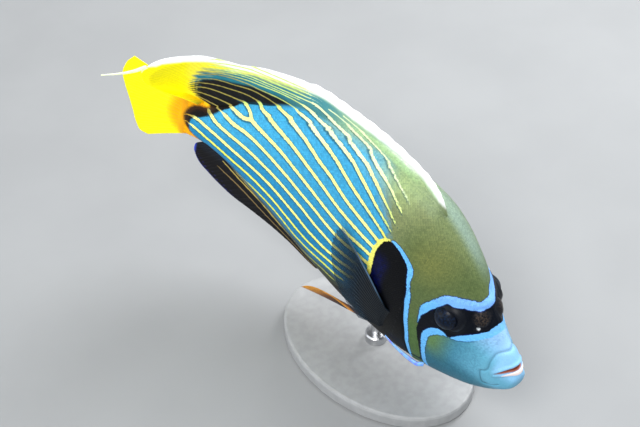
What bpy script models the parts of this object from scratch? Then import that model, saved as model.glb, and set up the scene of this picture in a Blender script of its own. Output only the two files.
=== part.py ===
"""Adult emperor angelfish (Pomacanthus imperator), life size, on a plain display stand.

Frame: metres, +Z up, origin at the centre of the stand's underside on the floor.
The fish swims towards -Y with its right side towards -X, nose slightly down, and its
tail swings to the right.  The body is described straight first, in lengths of the fish
without its tail fin: s runs back from the snout, y to the fish's right, z towards its
back.  bend() then curves the midline and pose() sets the fish over its stand.
"""
import bpy
import bmesh
import numpy as np
from math import pi, sin, cos, radians

# ------------------------------------------------------------------ driving dimensions
SL = 0.280              # standard length: snout to the end of the tail's root, m
GAP = 0.0003            # thin cut between neighbouring pieces, m
PITCH = radians(17.5)   # nose-down angle of the swimming fish
HEIGHT = 0.1045         # height of the pivot above the floor, m
PIVOT_S = 0.46          # station of the pivot, below the middle of the back
PIVOT_X, PIVOT_Y = 0.004, -0.001   # the pivot's place over the stand, m
BEND_START = 0.4919     # station where the tail's swing sets in
BEND_RATE = 0.9313      # radians of swing per standard length behind it
BEND_EASE = 0.10        # length over which the swing eases in
SECTION_POWER = 2.3     # superellipse power of the body's cross-section

# stations along the body and the trunk's back, belly and half-width at each
STATION = [0, .03, .06, .10, .15, .20, .25, .30, .36, .42, .50, .60, .70, .80, .88, .95, 1.0, 1.04]
BACK = [.047, .066, .091, .126, .173, .2165, .250, .2745, .2925, .2985, .2965, .2765, .2375, .181, .128, .090, .075, .071]
BELLY = [.006, -.047, -.084, -.121, -.153, -.181, -.203, -.220, -.235, -.246, -.252, -.244, -.215, -.167, -.116, -.079, -.069, -.069]
HALF_WIDTH = [.020, .0333, .0424, .0535, .0675, .0785, .0856, .0912, .0932, .0906, .0849, .0741, .0613, .0466, .0349, .0254, .0165, .0085]
DRAW_S = [0, .03, .06, .10, .14, .18, .22, .26, .31, .36, .42, .50, .60]           # stations of the next line
DRAW_IN = [.20, .28, .33, .36, .32, .20, .09, .00, -.09, -.14, -.11, -.02, 0]      # how far the upper side is drawn in

MUZZLE_S = 0.064        # plane where the jaws meet the head
MOUTH = (0.018, 0.062, -1.33)   # mouth slit: a point (s, z) on it and its slope dz/ds
OPERCLE = (0.285, 0.20)  # rear edge of the head: s at z = 0, and ds/dz
PREOPERCLE = (0.226, 0.06)  # front edge of the gill cover: s at z = 0, and ds/dz
PEDUNCLE_S = 0.86       # cut between trunk and tail root
TAIL_ROOT_S = 1.0335    # end of the tail root
COVER_THICK = 0.0022    # gill cover thickness, m
COVER_ANGLES = (-46.0, 34.0)    # lowest and highest section angle of the cover, degrees

EYE = (0.192, 0.110)    # eye centre (s, z)
EYE_RADII = (0.0084, 0.0056, 0.0084)   # along, out of and up the head, m
EYE_DEPTH = 0.0048      # eye centre below the head's skin, m
ORBIT_RISE = 0.0048     # the ring of flesh round the eye stands this proud, m
ORBIT_WIDE = 0.050      # its reach
ORBIT_AT = (0.185, 0.113)   # its middle (s, z)

# fin rays: where each leaves the body, and (s, z) of its end on the fin's margin
DORSAL_RAYS = [(.330, .334, .290), (.345, .352, .315), (.365, .380, .337), (.400, .425, .351), (.460, .502, .354),
               (.520, .580, .3510), (.580, .650, .3455), (.640, .720, .3425), (.700, .790, .320), (.760, .865, .294),
               (.820, .940, .2665), (.870, 1.005, .2660), (.910, 1.060, .2515), (.940, 1.108, .2300), (.960, 1.140, .200),
               (.970, 1.154, .172), (.977, 1.146, .142), (.982, 1.112, .119), (.986, 1.056, .101), (.988, 1.012, .087)]
DORSAL_SPLIT = 0.690    # where the spiny fin hands over to the soft one
FILAMENT = [(1.142, .196), (1.174, .176), (1.210, .1645), (1.247, .160)]   # trailing tip of the soft dorsal
ANAL_RAYS = [(.580, .590, -.270), (.592, .612, -.292), (.610, .645, -.288), (.650, .700, -.2735), (.700, .765, -.260),
             (.750, .825, -.2485), (.800, .880, -.236), (.850, .930, -.210), (.890, .962, -.186), (.920, .987, -.163),
             (.940, 1.001, -.138), (.955, 1.008, -.113), (.965, 1.006, -.095), (.970, .996, -.083)]
CAUDAL_RAYS = [(-.066, 1.130, -.128), (-.053, 1.150, -.121), (-.040, 1.164, -.092), (-.020, 1.176, -.046), (.000, 1.189, .000),
               (.020, 1.202, .044), (.040, 1.210, .086), (.056, 1.203, .125), (.069, 1.186, .155)]
PECTORAL_RAYS = [(.316, -.036, .517, .106), (.318, -.046, .529, .077), (.320, -.056, .531, .038), (.322, -.066, .524, -.004),
                 (.324, -.076, .509, -.048), (.326, -.086, .487, -.088), (.328, -.096, .459, -.120), (.330, -.105, .426, -.141),
                 (.331, -.112, .393, -.149)]
PECTORAL_LIFT = (0.0042, 0.020)    # stand-off from the flank at root and tip
PELVIC_RAYS = [(.338, .613, -.349), (.345, .598, -.326), (.352, .570, -.302), (.360, .532, -.284), (.367, .492, -.272), (.374, .455, -.264)]
PELVIC_OUT = (0.020, 0.036)        # distance of root and tip from the midline
LOBE_SWING = (0.900, 0.30, 1.2)    # the soft dorsal's rear lobe trails further to the right

CHEEK_SPINE = [(.207, -.152), (.240, -.152), (.275, -.150), (.318, -.146)]
CHEEK_SPINE_RADII = (0.0019, 0.0004)

BASE_LONG, BASE_WIDE, BASE_THICK, BASE_BEVEL = 0.160, 0.106, 0.010, 0.0020
ROD_Y = 0.004           # the rod stands here along Y; the base's centre is over the origin
ROD_RADIUS = 0.0040
ROD_DEPTH = 0.014       # how far the rod goes up into the belly
COLLAR_RADIUS, COLLAR_HIGH = 0.0080, 0.0070


# ------------------------------------------------------------------ scene and helpers
for ob in list(bpy.data.objects):
    bpy.data.objects.remove(ob, do_unlink=True)


def smooth_curve(xs, ys):
    """Monotone cubic through (xs, ys), returned as a function."""
    x, y = np.asarray(xs, float), np.asarray(ys, float)
    h = np.diff(x)
    d = np.diff(y) / h
    m = np.zeros_like(y)
    m[0], m[-1] = d[0], d[-1]
    for i in range(1, len(x) - 1):
        if d[i - 1] * d[i] > 0:
            a, b = 2 * h[i] + h[i - 1], h[i] + 2 * h[i - 1]
            m[i] = (a + b) / (a / d[i - 1] + b / d[i])

    def at(q):
        q = np.clip(np.asarray(q, float), x[0], x[-1])
        i = np.clip(np.searchsorted(x, q) - 1, 0, len(h) - 1)
        t = (q - x[i]) / h[i]
        return ((2 * t ** 3 - 3 * t ** 2 + 1) * y[i] + (t ** 3 - 2 * t ** 2 + t) * h[i] * m[i]
                + (3 * t ** 2 - 2 * t ** 3) * y[i + 1] + (t ** 3 - t ** 2) * h[i] * m[i + 1])
    return at


def rounded(f, reach=0.018):
    """The same curve with its curvature evened out over +-reach."""
    grid = np.linspace(-0.1, 1.14, 1241)
    val = f(grid)
    n = int(round(reach / (grid[1] - grid[0])))
    k = np.hanning(2 * n + 3)
    k /= k.sum()
    edge_l = val[0] + 0 * k[:n + 1]
    edge_r = val[-1] + 0 * k[:n + 1]
    sm = np.convolve(np.concatenate([edge_l, val, edge_r]), k, mode="valid")
    return lambda q: np.interp(q, grid, sm)


back_of = rounded(smooth_curve(STATION, BACK))
belly_of = rounded(smooth_curve(STATION, BELLY))
width_of = rounded(smooth_curve(STATION, HALF_WIDTH))


draw_of = rounded(smooth_curve(DRAW_S, DRAW_IN))


def drawn(s, t):
    """Factor on the half-width at height t of the upper half (0 at mid-height, 1 at the back)."""
    k = np.clip((t - 0.45) / 0.5, 0, 1)
    return 1 - draw_of(s) * k * k * (3 - 2 * k)


def section(s, angle):
    """Body surface at station s; angle 0 is the right flank, 90 degrees the back."""
    s = np.asarray(s, float)
    top, low, w = back_of(s), belly_of(s), width_of(s)
    c, sn = np.cos(angle), np.sin(angle)
    y = np.sign(c) * np.abs(c) ** (2 / SECTION_POWER) * w * drawn(s, np.sign(sn) * np.abs(sn) ** (2 / SECTION_POWER))
    z = (top + low) / 2 + np.sign(sn) * np.abs(sn) ** (2 / SECTION_POWER) * (top - low) / 2
    r = np.hypot(s - ORBIT_AT[0], z - ORBIT_AT[1]) / ORBIT_WIDE
    y = y + np.sign(c) * ORBIT_RISE / SL * np.exp(-(r / 0.62) ** 4) * (np.abs(c) > 0.05)
    return np.stack([s + 0 * angle, y, z], -1)


def flank(s, z):
    """Half-width of the body at station s and height z."""
    top, low, w = back_of(s), belly_of(s), width_of(s)
    t = (z - (top + low) / 2) / ((top - low) / 2)
    q = np.clip(1 - np.abs(t) ** SECTION_POWER, 0, 1)
    return w * q ** (1 / SECTION_POWER) * drawn(s, t)


_g = np.linspace(-0.1, 1.5, 3201)
_d = _g - BEND_START
_th = BEND_RATE * (_d + np.sqrt(_d ** 2 + BEND_EASE ** 2)) / 2
_X = np.concatenate([[0], np.cumsum((np.cos(_th[1:]) + np.cos(_th[:-1])) / 2 * np.diff(_g))]) - 0.1
_Y = np.concatenate([[0], np.cumsum((np.sin(_th[1:]) + np.sin(_th[:-1])) / 2 * np.diff(_g))])
_piv = float(np.interp(PIVOT_S, _g, _X))


def pose(p):
    """Straight fish coordinates (lengths) to metres in the part's frame."""
    p = np.asarray(p, float)
    s, y, z = p[..., 0], p[..., 1], p[..., 2]
    th = np.interp(s, _g, _th)
    along = np.interp(s, _g, _X) - np.sin(th) * y
    right = np.interp(s, _g, _Y) + np.cos(th) * y
    f, r, u = -(along - _piv) * SL, right * SL, z * SL
    return np.stack([PIVOT_X - r, PIVOT_Y - f * cos(PITCH) - u * sin(PITCH), HEIGHT - f * sin(PITCH) + u * cos(PITCH)], -1)


def material(name, colour, rough=0.45, metal=0.0, alpha=1.0):
    m = bpy.data.materials.get(name) or bpy.data.materials.new(name)
    m.use_nodes = True
    b = m.node_tree.nodes["Principled BSDF"]
    b.inputs["Base Color"].default_value = (*colour, 1)
    b.inputs["Roughness"].default_value = rough
    b.inputs["Metallic"].default_value = metal
    b.inputs["Alpha"].default_value = alpha
    return m


def add_object(name, verts, faces, mat, smooth=True, angle=40):
    me = bpy.data.meshes.new(name)
    me.from_pydata([tuple(map(float, v)) for v in verts], [], [tuple(map(int, f)) for f in faces])
    bm = bmesh.new()
    bm.from_mesh(me)
    bmesh.ops.recalc_face_normals(bm, faces=bm.faces)
    bmesh.ops.triangulate(bm, faces=bm.faces)
    bm.to_mesh(me)
    bm.free()
    ob = bpy.data.objects.new(name, me)
    bpy.context.collection.objects.link(ob)
    if mat:
        me.materials.append(mat)
    if smooth:
        me.shade_smooth()
        me.set_sharp_from_angle(angle=radians(angle))
    return ob


def rings_to_faces(n_rings, n, start=0):
    f = []
    for i in range(n_rings - 1):
        a, b = start + i * n, start + (i + 1) * n
        f += [(a + j, a + (j + 1) % n, b + (j + 1) % n, b + j) for j in range(n)]
    return f


def loft(rings):
    """Closed solid from rings of equal size, with a fan over each end."""
    n = len(rings[0])
    verts = list(np.concatenate(rings))
    faces = rings_to_faces(len(rings), n)
    for i, flip in ((0, True), (len(rings) - 1, False)):
        centre = len(verts)
        verts.append(np.mean(rings[i], axis=0))
        ring = [i * n + j for j in range(n)]
        for j in range(n):
            t = (ring[j], ring[(j + 1) % n], centre)
            faces.append(t[::-1] if flip else t)
    return verts, faces


def body_ring(s_at, n, blend=1.0):
    """Ring of the body whose station depends on its height: s = s_at(z)."""
    ang = np.linspace(-pi / 2, 3 * pi / 2, n, endpoint=False)
    s = np.full(n, float(s_at(0.0)))
    for _ in range(12):
        p = section(s, ang)
        s = s_at(p[:, 2])
    return section(s, ang)


def const(v):
    return lambda z: v + 0 * np.asarray(z)


def cutter(name, verts, faces):
    ob = add_object(name, verts, faces, None, smooth=False)
    ob.hide_render = True
    ob.display_type = "WIRE"
    return ob


def subtract(target, tool):
    m = target.modifiers.new("cut_" + tool.name, "BOOLEAN")
    m.operation = "DIFFERENCE"
    m.solver = "EXACT"
    m.object = tool


# ------------------------------------------------------------------ materials
SKY = material("flank_blue", (0.10, 0.36, 0.62))
OLIVE = material("head_olive", (0.22, 0.25, 0.09))
TEAL = material("cheek_teal", (0.13, 0.36, 0.38))
PALE = material("muzzle_blue", (0.25, 0.50, 0.62))
YELLOW = material("tail_yellow", (0.90, 0.62, 0.02))
DARK = material("fin_navy", (0.012, 0.012, 0.03))
SMOKE = material("pectoral_smoke", (0.03, 0.05, 0.08))
BROWN = material("pelvic_brown", (0.08, 0.03, 0.012))
TEALFIN = material("dorsal_teal", (0.20, 0.42, 0.35))
LILAC = material("spine_blue", (0.25, 0.30, 0.75))
EYEBLACK = material("eye_black", (0.008, 0.010, 0.016), rough=0.12)
STANDGREY = material("stand_grey", (0.32, 0.33, 0.34), rough=0.42)
ROD = material("rod_steel", (0.62, 0.62, 0.64), rough=0.28, metal=1.0)

# ------------------------------------------------------------------ head, trunk and tail root
N_AROUND = 36
g = GAP / SL


def opercle(z):
    return OPERCLE[0] + OPERCLE[1] * np.asarray(z)


def between(a, b, t):
    return lambda z: a(z) * (1 - t) + b(z) * t


head_rings = [pose(body_ring(between(const(MUZZLE_S + g / 2), lambda z: opercle(z) - 0.6 * g, t), N_AROUND))
              for t in np.linspace(0, 1, 12)]
head = add_object("head", *loft(head_rings), OLIVE)

trunk_rings = [pose(body_ring(between(lambda z: opercle(z) + 0.6 * g, const(PEDUNCLE_S - g / 2), t), N_AROUND))
               for t in np.linspace(0, 1, 16)]
trunk = add_object("trunk", *loft(trunk_rings), SKY)

root_rings = [pose(body_ring(const(s), N_AROUND)) for s in np.linspace(PEDUNCLE_S + g / 2, TAIL_ROOT_S, 7)]
add_object("caudal_peduncle", *loft(root_rings), SKY)

# ------------------------------------------------------------------ jaws: the muzzle, split along the mouth slit
NOSE_RINGS = [(0.0, 0.42), (0.0014, 0.72), (0.006, 0.93), (0.014, 1.0), (0.028, 1.0), (0.046, 1.0), (MUZZLE_S - g / 2, 1.0)]


def muzzle_ring(s, k):
    ring = body_ring(const(s), 28)
    mid = ring.mean(axis=0)
    return pose(mid + (ring - mid) * k)


m_verts, m_faces = loft([muzzle_ring(s, k) for s, k in NOSE_RINGS])
slit_point = pose([MOUTH[0], 0.0, MOUTH[1]])
slit_along = pose([MOUTH[0] + 0.03, 0.0, MOUTH[1] + 0.03 * MOUTH[2]]) - slit_point
slit_side = pose([MOUTH[0], 0.03, MOUTH[1]]) - pose([MOUTH[0], -0.03, MOUTH[1]])
slit_normal = np.cross(slit_along, slit_side)
slit_normal /= np.linalg.norm(slit_normal)
if slit_normal[2] < 0:
    slit_normal = -slit_normal


def half_muzzle(name, side, mat):
    ob = add_object(name, m_verts, m_faces, mat)
    bm = bmesh.new()
    bm.from_mesh(ob.data)
    geom = bm.verts[:] + bm.edges[:] + bm.faces[:]
    res = bmesh.ops.bisect_plane(bm, geom=geom, dist=1e-7, plane_co=slit_point + slit_normal * side * GAP / 2,
                                 plane_no=slit_normal * side, clear_inner=True)
    edges = [e for e in res["geom_cut"] if isinstance(e, bmesh.types.BMEdge)]
    bmesh.ops.edgenet_fill(bm, edges=edges)
    bmesh.ops.triangulate(bm, faces=bm.faces)
    bmesh.ops.recalc_face_normals(bm, faces=bm.faces)
    bm.to_mesh(ob.data)
    bm.free()
    ob.data.shade_smooth()
    ob.data.set_sharp_from_angle(angle=radians(40))
    return ob


half_muzzle("upper_jaw", 1, PALE)
half_muzzle("lower_jaw", -1, PALE)


# ------------------------------------------------------------------ gill covers, let into the head
def cover_grid(side, grow_s, grow_a, inner, outer, ns=6, na=12):
    """Patch of the head's side between the preopercle and the head's rear edge."""
    verts = []
    a0, a1 = radians(COVER_ANGLES[0]), radians(COVER_ANGLES[1])
    for layer in (outer, inner):
        for i in range(na + 1):
            b = i / na
            ang = a0 - grow_a + (a1 - a0 + 2 * grow_a) * b
            pinch = 0.30 * abs(2 * b - 1) ** 5
            for j in range(ns + 1):
                t = j / ns
                s = 0.25
                for _ in range(10):
                    z = section(s, ang)[2]
                    f, r = PREOPERCLE[0] + PREOPERCLE[1] * z, float(opercle(z)) - 0.010
                    lo, hi = f + (r - f) * pinch - grow_s, r - (r - f) * 0.5 * pinch + grow_s
                    s = lo + (hi - lo) * t
                p = section(s, ang)
                p[1] = (p[1] + layer / SL) * side
                verts.append(pose(p))
    m, n = na + 1, ns + 1
    k = m * n
    faces = []
    for i in range(na):
        for j in range(ns):
            a, b, c, d = i * n + j, i * n + j + 1, (i + 1) * n + j + 1, (i + 1) * n + j
            faces += [(a, b, c, d), (k + d, k + c, k + b, k + a)]
    rim = [j for j in range(n)] + [i * n + ns for i in range(1, m)] + [na * n + j for j in range(ns - 1, -1, -1)] + [i * n for i in range(na - 1, 0, -1)]
    for a, b in zip(rim, rim[1:] + rim[:1]):
        faces.append((b, a, k + a, k + b))
    return verts, faces


for word, side in (("right", 1), ("left", -1)):
    add_object("gill_cover_" + word, *cover_grid(side, 0, 0, -COVER_THICK, 0.0), OLIVE)
    pocket = cutter("cut_gill_" + word, *cover_grid(side, 1.25 * g, 1.25 * g / 0.20, -COVER_THICK - GAP, 0.004))
    subtract(head, pocket)


# ------------------------------------------------------------------ eyes in their sockets
def ellipsoid(centre, axes, radii, nu=18, nv=10):
    rows = [centre - axes[1] * radii[1]]
    for i in range(1, nv):
        t = pi * i / nv - pi / 2
        for j in range(nu):
            a = 2 * pi * j / nu
            rows.append(centre + axes[1] * sin(t) * radii[1] + (axes[0] * cos(a) * radii[0] + axes[2] * sin(a) * radii[2]) * cos(t))
    rows.append(centre + axes[1] * radii[1])
    faces = [(0, 1 + (j + 1) % nu, 1 + j) for j in range(nu)]
    faces += [(1 + i * nu + j, 1 + i * nu + (j + 1) % nu, 1 + (i + 1) * nu + (j + 1) % nu, 1 + (i + 1) * nu + j)
              for i in range(nv - 2) for j in range(nu)]
    last, base = len(rows) - 1, 1 + (nv - 2) * nu
    faces += [(base + j, base + (j + 1) % nu, last) for j in range(nu)]
    return rows, faces


for word, side in (("right", 1), ("left", -1)):
    s, z = EYE
    y0 = float(flank(s, z)) + ORBIT_RISE / SL
    e = 0.012
    p = lambda ds, dz: pose([s + ds, (float(flank(s + ds, z + dz)) + ORBIT_RISE / SL) * side, z + dz])
    along, up = p(e, 0) - p(-e, 0), p(0, e) - p(0, -e)
    along /= np.linalg.norm(along)
    out = np.cross(along, up)
    out /= np.linalg.norm(out)
    if np.dot(out, pose([s, 0.2 * side, z]) - pose([s, 0, z])) < 0:
        out = -out
    up = np.cross(out, along)
    centre = p(0, 0) - out * EYE_DEPTH
    add_object("eye_" + word, *ellipsoid(centre, (along, out, up), EYE_RADII), EYEBLACK, angle=80)
    socket = cutter("cut_eye_" + word, *ellipsoid(centre, (along, out, up), [r + 1.3 * GAP for r in EYE_RADII]))
    subtract(head, socket)


# ------------------------------------------------------------------ fins
def plate(name, rows, thick, mat, angle=50):
    """Closed thin plate over a grid rows[v][u] of straight fish points; thick(v) is its thickness in m."""
    nv, nu = len(rows), len(rows[0])
    grid = np.array([[pose(q) for q in row] for row in rows])
    du = np.gradient(grid, axis=1)
    dv = np.gradient(grid, axis=0)
    nrm = np.cross(du, dv)
    nrm /= np.linalg.norm(nrm, axis=2)[..., None]
    t = np.array([[thick(i / (nv - 1), j / (nu - 1)) / 2] * 3 for i in range(nv) for j in range(nu)]).reshape(nv, nu, 3)
    verts = list((grid + nrm * t).reshape(-1, 3)) + list((grid - nrm * t).reshape(-1, 3))
    k = nv * nu
    faces = []
    for i in range(nv - 1):
        for j in range(nu - 1):
            a, b, c, d = i * nu + j, i * nu + j + 1, (i + 1) * nu + j + 1, (i + 1) * nu + j
            faces += [(a, b, c, d), (k + d, k + c, k + b, k + a)]
    rim = [j for j in range(nu)] + [i * nu + nu - 1 for i in range(1, nv)] + [(nv - 1) * nu + j for j in range(nu - 2, -1, -1)] + [i * nu for i in range(nv - 2, 0, -1)]
    for a, b in zip(rim, rim[1:] + rim[:1]):
        faces.append((b, a, k + a, k + b))
    return add_object(name, verts, faces, mat, angle=angle)


def swing(s, v):
    d = max(0.0, s - LOBE_SWING[0])
    return LOBE_SWING[1] * d ** LOBE_SWING[2] * min(1.0, v * 1.15) ** 1.3


def median_rows(rays, edge, sign, u_from, u_to, nu, nv, lobe=False):
    """Rows of a fin on the midline; edge(s) is the ridge it grows from."""
    rays = np.array(rays)
    key = rays[:, 0]
    idx = np.linspace(0, 1, len(key))
    f0, f1, f2 = smooth_curve(idx, key), smooth_curve(idx, rays[:, 1]), smooth_curve(idx, rays[:, 2])
    lo, hi = np.interp(u_from, key, idx), np.interp(u_to, key, idx)
    rows = []
    for i in range(nv):
        v = i / (nv - 1)
        row = []
        for u in np.linspace(lo, hi, nu):
            sb = float(f0(u))
            zb = float(edge(sb)) + sign * 2.2 * g
            s, z = sb + (float(f1(u)) - sb) * v, zb + (float(f2(u)) - zb) * v
            row.append((s, swing(s, v) if lobe else 0.0, z))
        rows.append(row)
    return rows


def taper(root, tip, rear=None):
    """Thickness from root to tip; rear is the root's thickness at the fin's last ray, where that is thinner."""
    rear = root if rear is None else rear
    return lambda v, u: root + (rear - root) * u ** 2 + (tip - root - (rear - root) * u ** 2) * v ** 0.7


key_split = DORSAL_SPLIT
plate("dorsal_fin_spiny", median_rows(DORSAL_RAYS, back_of, 1, .330, key_split - 0.0012, 22, 5), taper(0.0042, 0.0009), TEALFIN)

# soft dorsal: the fan of rays, with the trailing filament as a tapering blade along its upper edge
soft = median_rows(DORSAL_RAYS, back_of, 1, key_split + 0.0012, .988, 26, 7, lobe=True)
soft_fin = plate("dorsal_fin_soft", soft, taper(0.0042, 0.0008, 0.0022), TEALFIN)
fil = np.array(FILAMENT)
fs, fz = smooth_curve(np.linspace(0, 1, 4), fil[:, 0]), smooth_curve(np.linspace(0, 1, 4), fil[:, 1])
blade = []
for i in range(9):
    t = i / 8
    s, z = float(fs(t)), float(fz(t))
    c = pose((s, swing(s, 1.0), z))
    n = pose((float(fs(min(1, t + .02))), swing(float(fs(min(1, t + .02))), 1.0), float(fz(min(1, t + .02))))) - \
        pose((float(fs(max(0, t - .02))), swing(float(fs(max(0, t - .02))), 1.0), float(fz(max(0, t - .02)))))
    n /= np.linalg.norm(n)
    a = pose((s, swing(s, 1.0), z + 0.01)) - c
    a -= n * np.dot(a, n)
    a /= np.linalg.norm(a)
    b = np.cross(n, a)
    wide, thick = 0.0019 * (1 - t) + 0.00042 * t, 0.00062 * (1 - t) + 0.00036 * t
    blade.append(np.array([c + a * wide * cos(2 * pi * j / 8) + b * thick * sin(2 * pi * j / 8) for j in range(8)]))
strand = cutter("join_filament", *loft(blade))
m = soft_fin.modifiers.new("filament", "BOOLEAN")
m.operation = "UNION"
m.solver = "EXACT"
m.object = strand

plate("anal_fin", median_rows(ANAL_RAYS, belly_of, -1, .580, .970, 20, 5), taper(0.0040, 0.0009, 0.0022), DARK)

cr = np.array(CAUDAL_RAYS)
idx = np.linspace(0, 1, len(cr))
c0, c1, c2 = (smooth_curve(idx, cr[:, k]) for k in range(3))
rows = []
for i in range(6):
    v = i / 5
    rows.append([(TAIL_ROOT_S + 1.2 * g + (float(c1(u)) - TAIL_ROOT_S) * v, 0.0, float(c0(u)) + (float(c2(u)) - float(c0(u))) * v)
                 for u in np.linspace(0, 1, 18)])
plate("caudal_fin", rows, taper(0.0040, 0.0009), YELLOW)

pr = np.array(PECTORAL_RAYS)
idx = np.linspace(0, 1, len(pr))
q = [smooth_curve(idx, pr[:, k]) for k in range(4)]
for word, side in (("right", 1), ("left", -1)):
    rows = []
    for i in range(6):
        v = i / 5
        row = []
        for u in np.linspace(0, 1, 14):
            s = float(q[0](u)) + (float(q[2](u)) - float(q[0](u))) * v
            z = float(q[1](u)) + (float(q[3](u)) - float(q[1](u))) * v + 0.012 * sin(pi * v) * (1 - u)
            lift = PECTORAL_LIFT[0] + (PECTORAL_LIFT[1] - PECTORAL_LIFT[0]) * v ** 1.3
            row.append((s, (float(flank(s, z)) + lift) * side, z))
        rows.append(row)
    plate("pectoral_fin_" + word, rows, taper(0.0014, 0.0006), SMOKE)

vr = np.array(PELVIC_RAYS)
idx = np.linspace(0, 1, len(vr))
q2 = [smooth_curve(idx, vr[:, k]) for k in range(3)]
for word, side in (("right", 1), ("left", -1)):
    rows = []
    for i in range(7):
        v = i / 6
        row = []
        for u in np.linspace(0, 1, 8):
            sb = float(q2[0](u))
            yb = PELVIC_OUT[0]
            top, low, w = float(back_of(sb)), float(belly_of(sb)), float(width_of(sb))
            zb = (top + low) / 2 - (top - low) / 2 * (1 - (yb / w) ** SECTION_POWER) ** (1 / SECTION_POWER) - 3.2 * g
            s, z = sb + (float(q2[1](u)) - sb) * v, zb + (float(q2[2](u)) - zb) * v
            row.append((s, side * (yb + (PELVIC_OUT[1] - yb) * v), z))
        rows.append(row)
    plate("pelvic_fin_" + word, rows, taper(0.0018, 0.0008), BROWN)

# ------------------------------------------------------------------ cheek spines, lying back along the gill cover's lower edge
cs = np.array(CHEEK_SPINE)
cq = [smooth_curve(np.linspace(0, 1, 4), cs[:, k]) for k in range(2)]
for word, side in (("right", 1), ("left", -1)):
    rings = []
    mids = []
    for i in range(9):
        t = i / 8
        s, z = float(cq[0](t)), float(cq[1](t))
        e = 0.004
        f = lambda a, b: pose([a, float(flank(a, b)) * side, b])
        ta, tb = f(s + e, z) - f(s - e, z), f(s, z + e) - f(s, z - e)
        nn = np.cross(ta, tb)
        nn /= np.linalg.norm(nn)
        if np.dot(nn, pose([s, 0.2 * side, z]) - pose([s, 0, z])) < 0:
            nn = -nn
        r = CHEEK_SPINE_RADII[0] * (1 - t) ** 0.85 + CHEEK_SPINE_RADII[1] * t
        mids.append((f(s, z) + nn * (r + 2.4 * GAP + 0.0006 * sin(pi * t)), r, nn))
    for i, (c, r, nn) in enumerate(mids):
        d = mids[min(i + 1, 8)][0] - mids[max(i - 1, 0)][0]
        d /= np.linalg.norm(d)
        a = nn - d * np.dot(nn, d)
        a /= np.linalg.norm(a)
        b = np.cross(d, a)
        rings.append(np.array([c + (a * cos(2 * pi * j / 10) + b * sin(2 * pi * j / 10)) * r for j in range(10)]))
    add_object("cheek_spine_" + word, *loft(rings), LILAC)

# ------------------------------------------------------------------ stand: oval base, collar and rod up into the belly
n = 40
outline = lambda k: [(cos(2 * pi * j / n) * (BASE_WIDE / 2 - k), sin(2 * pi * j / n) * (BASE_LONG / 2 - k)) for j in range(n)]
rings = []
for k, z in ((0.0012, 0.0), (0.0, 0.0012), (0.0, BASE_THICK - BASE_BEVEL), (BASE_BEVEL * 0.3, BASE_THICK - BASE_BEVEL * 0.3), (BASE_BEVEL, BASE_THICK)):
    rings.append(np.array([(x, y, z) for x, y in outline(k)]))
v, f = loft(rings)
base = add_object("stand_base", v, f, STANDGREY, angle=30)

belly_at_rod = None
for s in np.linspace(0.40, 0.60, 401):          # where the belly's keel passes over the rod
    p = pose([s, 0.0, float(belly_of(s))])
    if belly_at_rod is None or abs(p[1] - ROD_Y) < abs(belly_at_rod[1] - ROD_Y):
        belly_at_rod = p
ROD_X = float(belly_at_rod[0])
rod_top = float(belly_at_rod[2]) + ROD_DEPTH


def turned(name, profile, centre, mat, n=24):
    rings = [np.array([(centre[0] + r * cos(2 * pi * j / n), centre[1] + r * sin(2 * pi * j / n), z) for j in range(n)]) for r, z in profile]
    v, f = loft(rings)
    return add_object(name, v, f, mat, angle=30)


turned("stand_rod", [(COLLAR_RADIUS, BASE_THICK + GAP), (COLLAR_RADIUS, BASE_THICK + COLLAR_HIGH - 0.001), (COLLAR_RADIUS - 0.001, BASE_THICK + COLLAR_HIGH),
                     (ROD_RADIUS, BASE_THICK + COLLAR_HIGH), (ROD_RADIUS, rod_top - 0.0008), (ROD_RADIUS - 0.0008, rod_top)],
       (ROD_X, ROD_Y), ROD)
hole = [np.array([(ROD_X + (ROD_RADIUS + 1.3 * GAP) * cos(2 * pi * j / 28), ROD_Y + (ROD_RADIUS + 1.3 * GAP) * sin(2 * pi * j / 28), z) for j in range(28)])
        for z in (rod_top - 0.035, rod_top + 1.3 * GAP)]
subtract(trunk, cutter("cut_rod", *loft(hole)))
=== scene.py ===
"""Looks of the adult emperor angelfish on its display stand: one skin over the flesh with its folds
and markings, scales, rayed fins, eyes, cheek spines, stand, floor, lights and camera.

The body is described straight, in lengths of the fish without its tail fin (about 280 mm): s runs
back from the snout, y to the fish's right, z towards its back.  pose() bends it and sets it over
the stand, as the solids are.
"""
import math
import bpy
import numpy as np
from mathutils import Matrix, Vector


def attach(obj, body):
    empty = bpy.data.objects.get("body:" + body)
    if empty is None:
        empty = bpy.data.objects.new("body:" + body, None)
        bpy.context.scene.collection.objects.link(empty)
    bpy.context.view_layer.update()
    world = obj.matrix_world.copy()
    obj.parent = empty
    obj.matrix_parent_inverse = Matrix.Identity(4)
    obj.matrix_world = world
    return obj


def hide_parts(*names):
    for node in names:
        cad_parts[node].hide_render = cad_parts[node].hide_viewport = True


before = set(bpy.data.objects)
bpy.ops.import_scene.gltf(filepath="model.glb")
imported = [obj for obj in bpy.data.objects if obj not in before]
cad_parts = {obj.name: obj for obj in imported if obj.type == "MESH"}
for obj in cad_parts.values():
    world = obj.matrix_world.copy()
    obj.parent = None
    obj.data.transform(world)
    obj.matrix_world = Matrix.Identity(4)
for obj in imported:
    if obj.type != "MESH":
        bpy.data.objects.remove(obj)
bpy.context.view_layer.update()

rng = np.random.default_rng(7)

# ================================================================== the body, as in the solids
SL = 0.280
PITCH = math.radians(17.5)
HEIGHT = 0.1045
PIVOT_S = 0.46
PIVOT_X, PIVOT_Y = 0.004, -0.001
BEND_START, BEND_RATE, BEND_EASE = 0.4919, 0.9313, 0.10
PW = 2.3
COAT = 0.00022 / SL          # the skin lies this far inside the flesh

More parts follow.
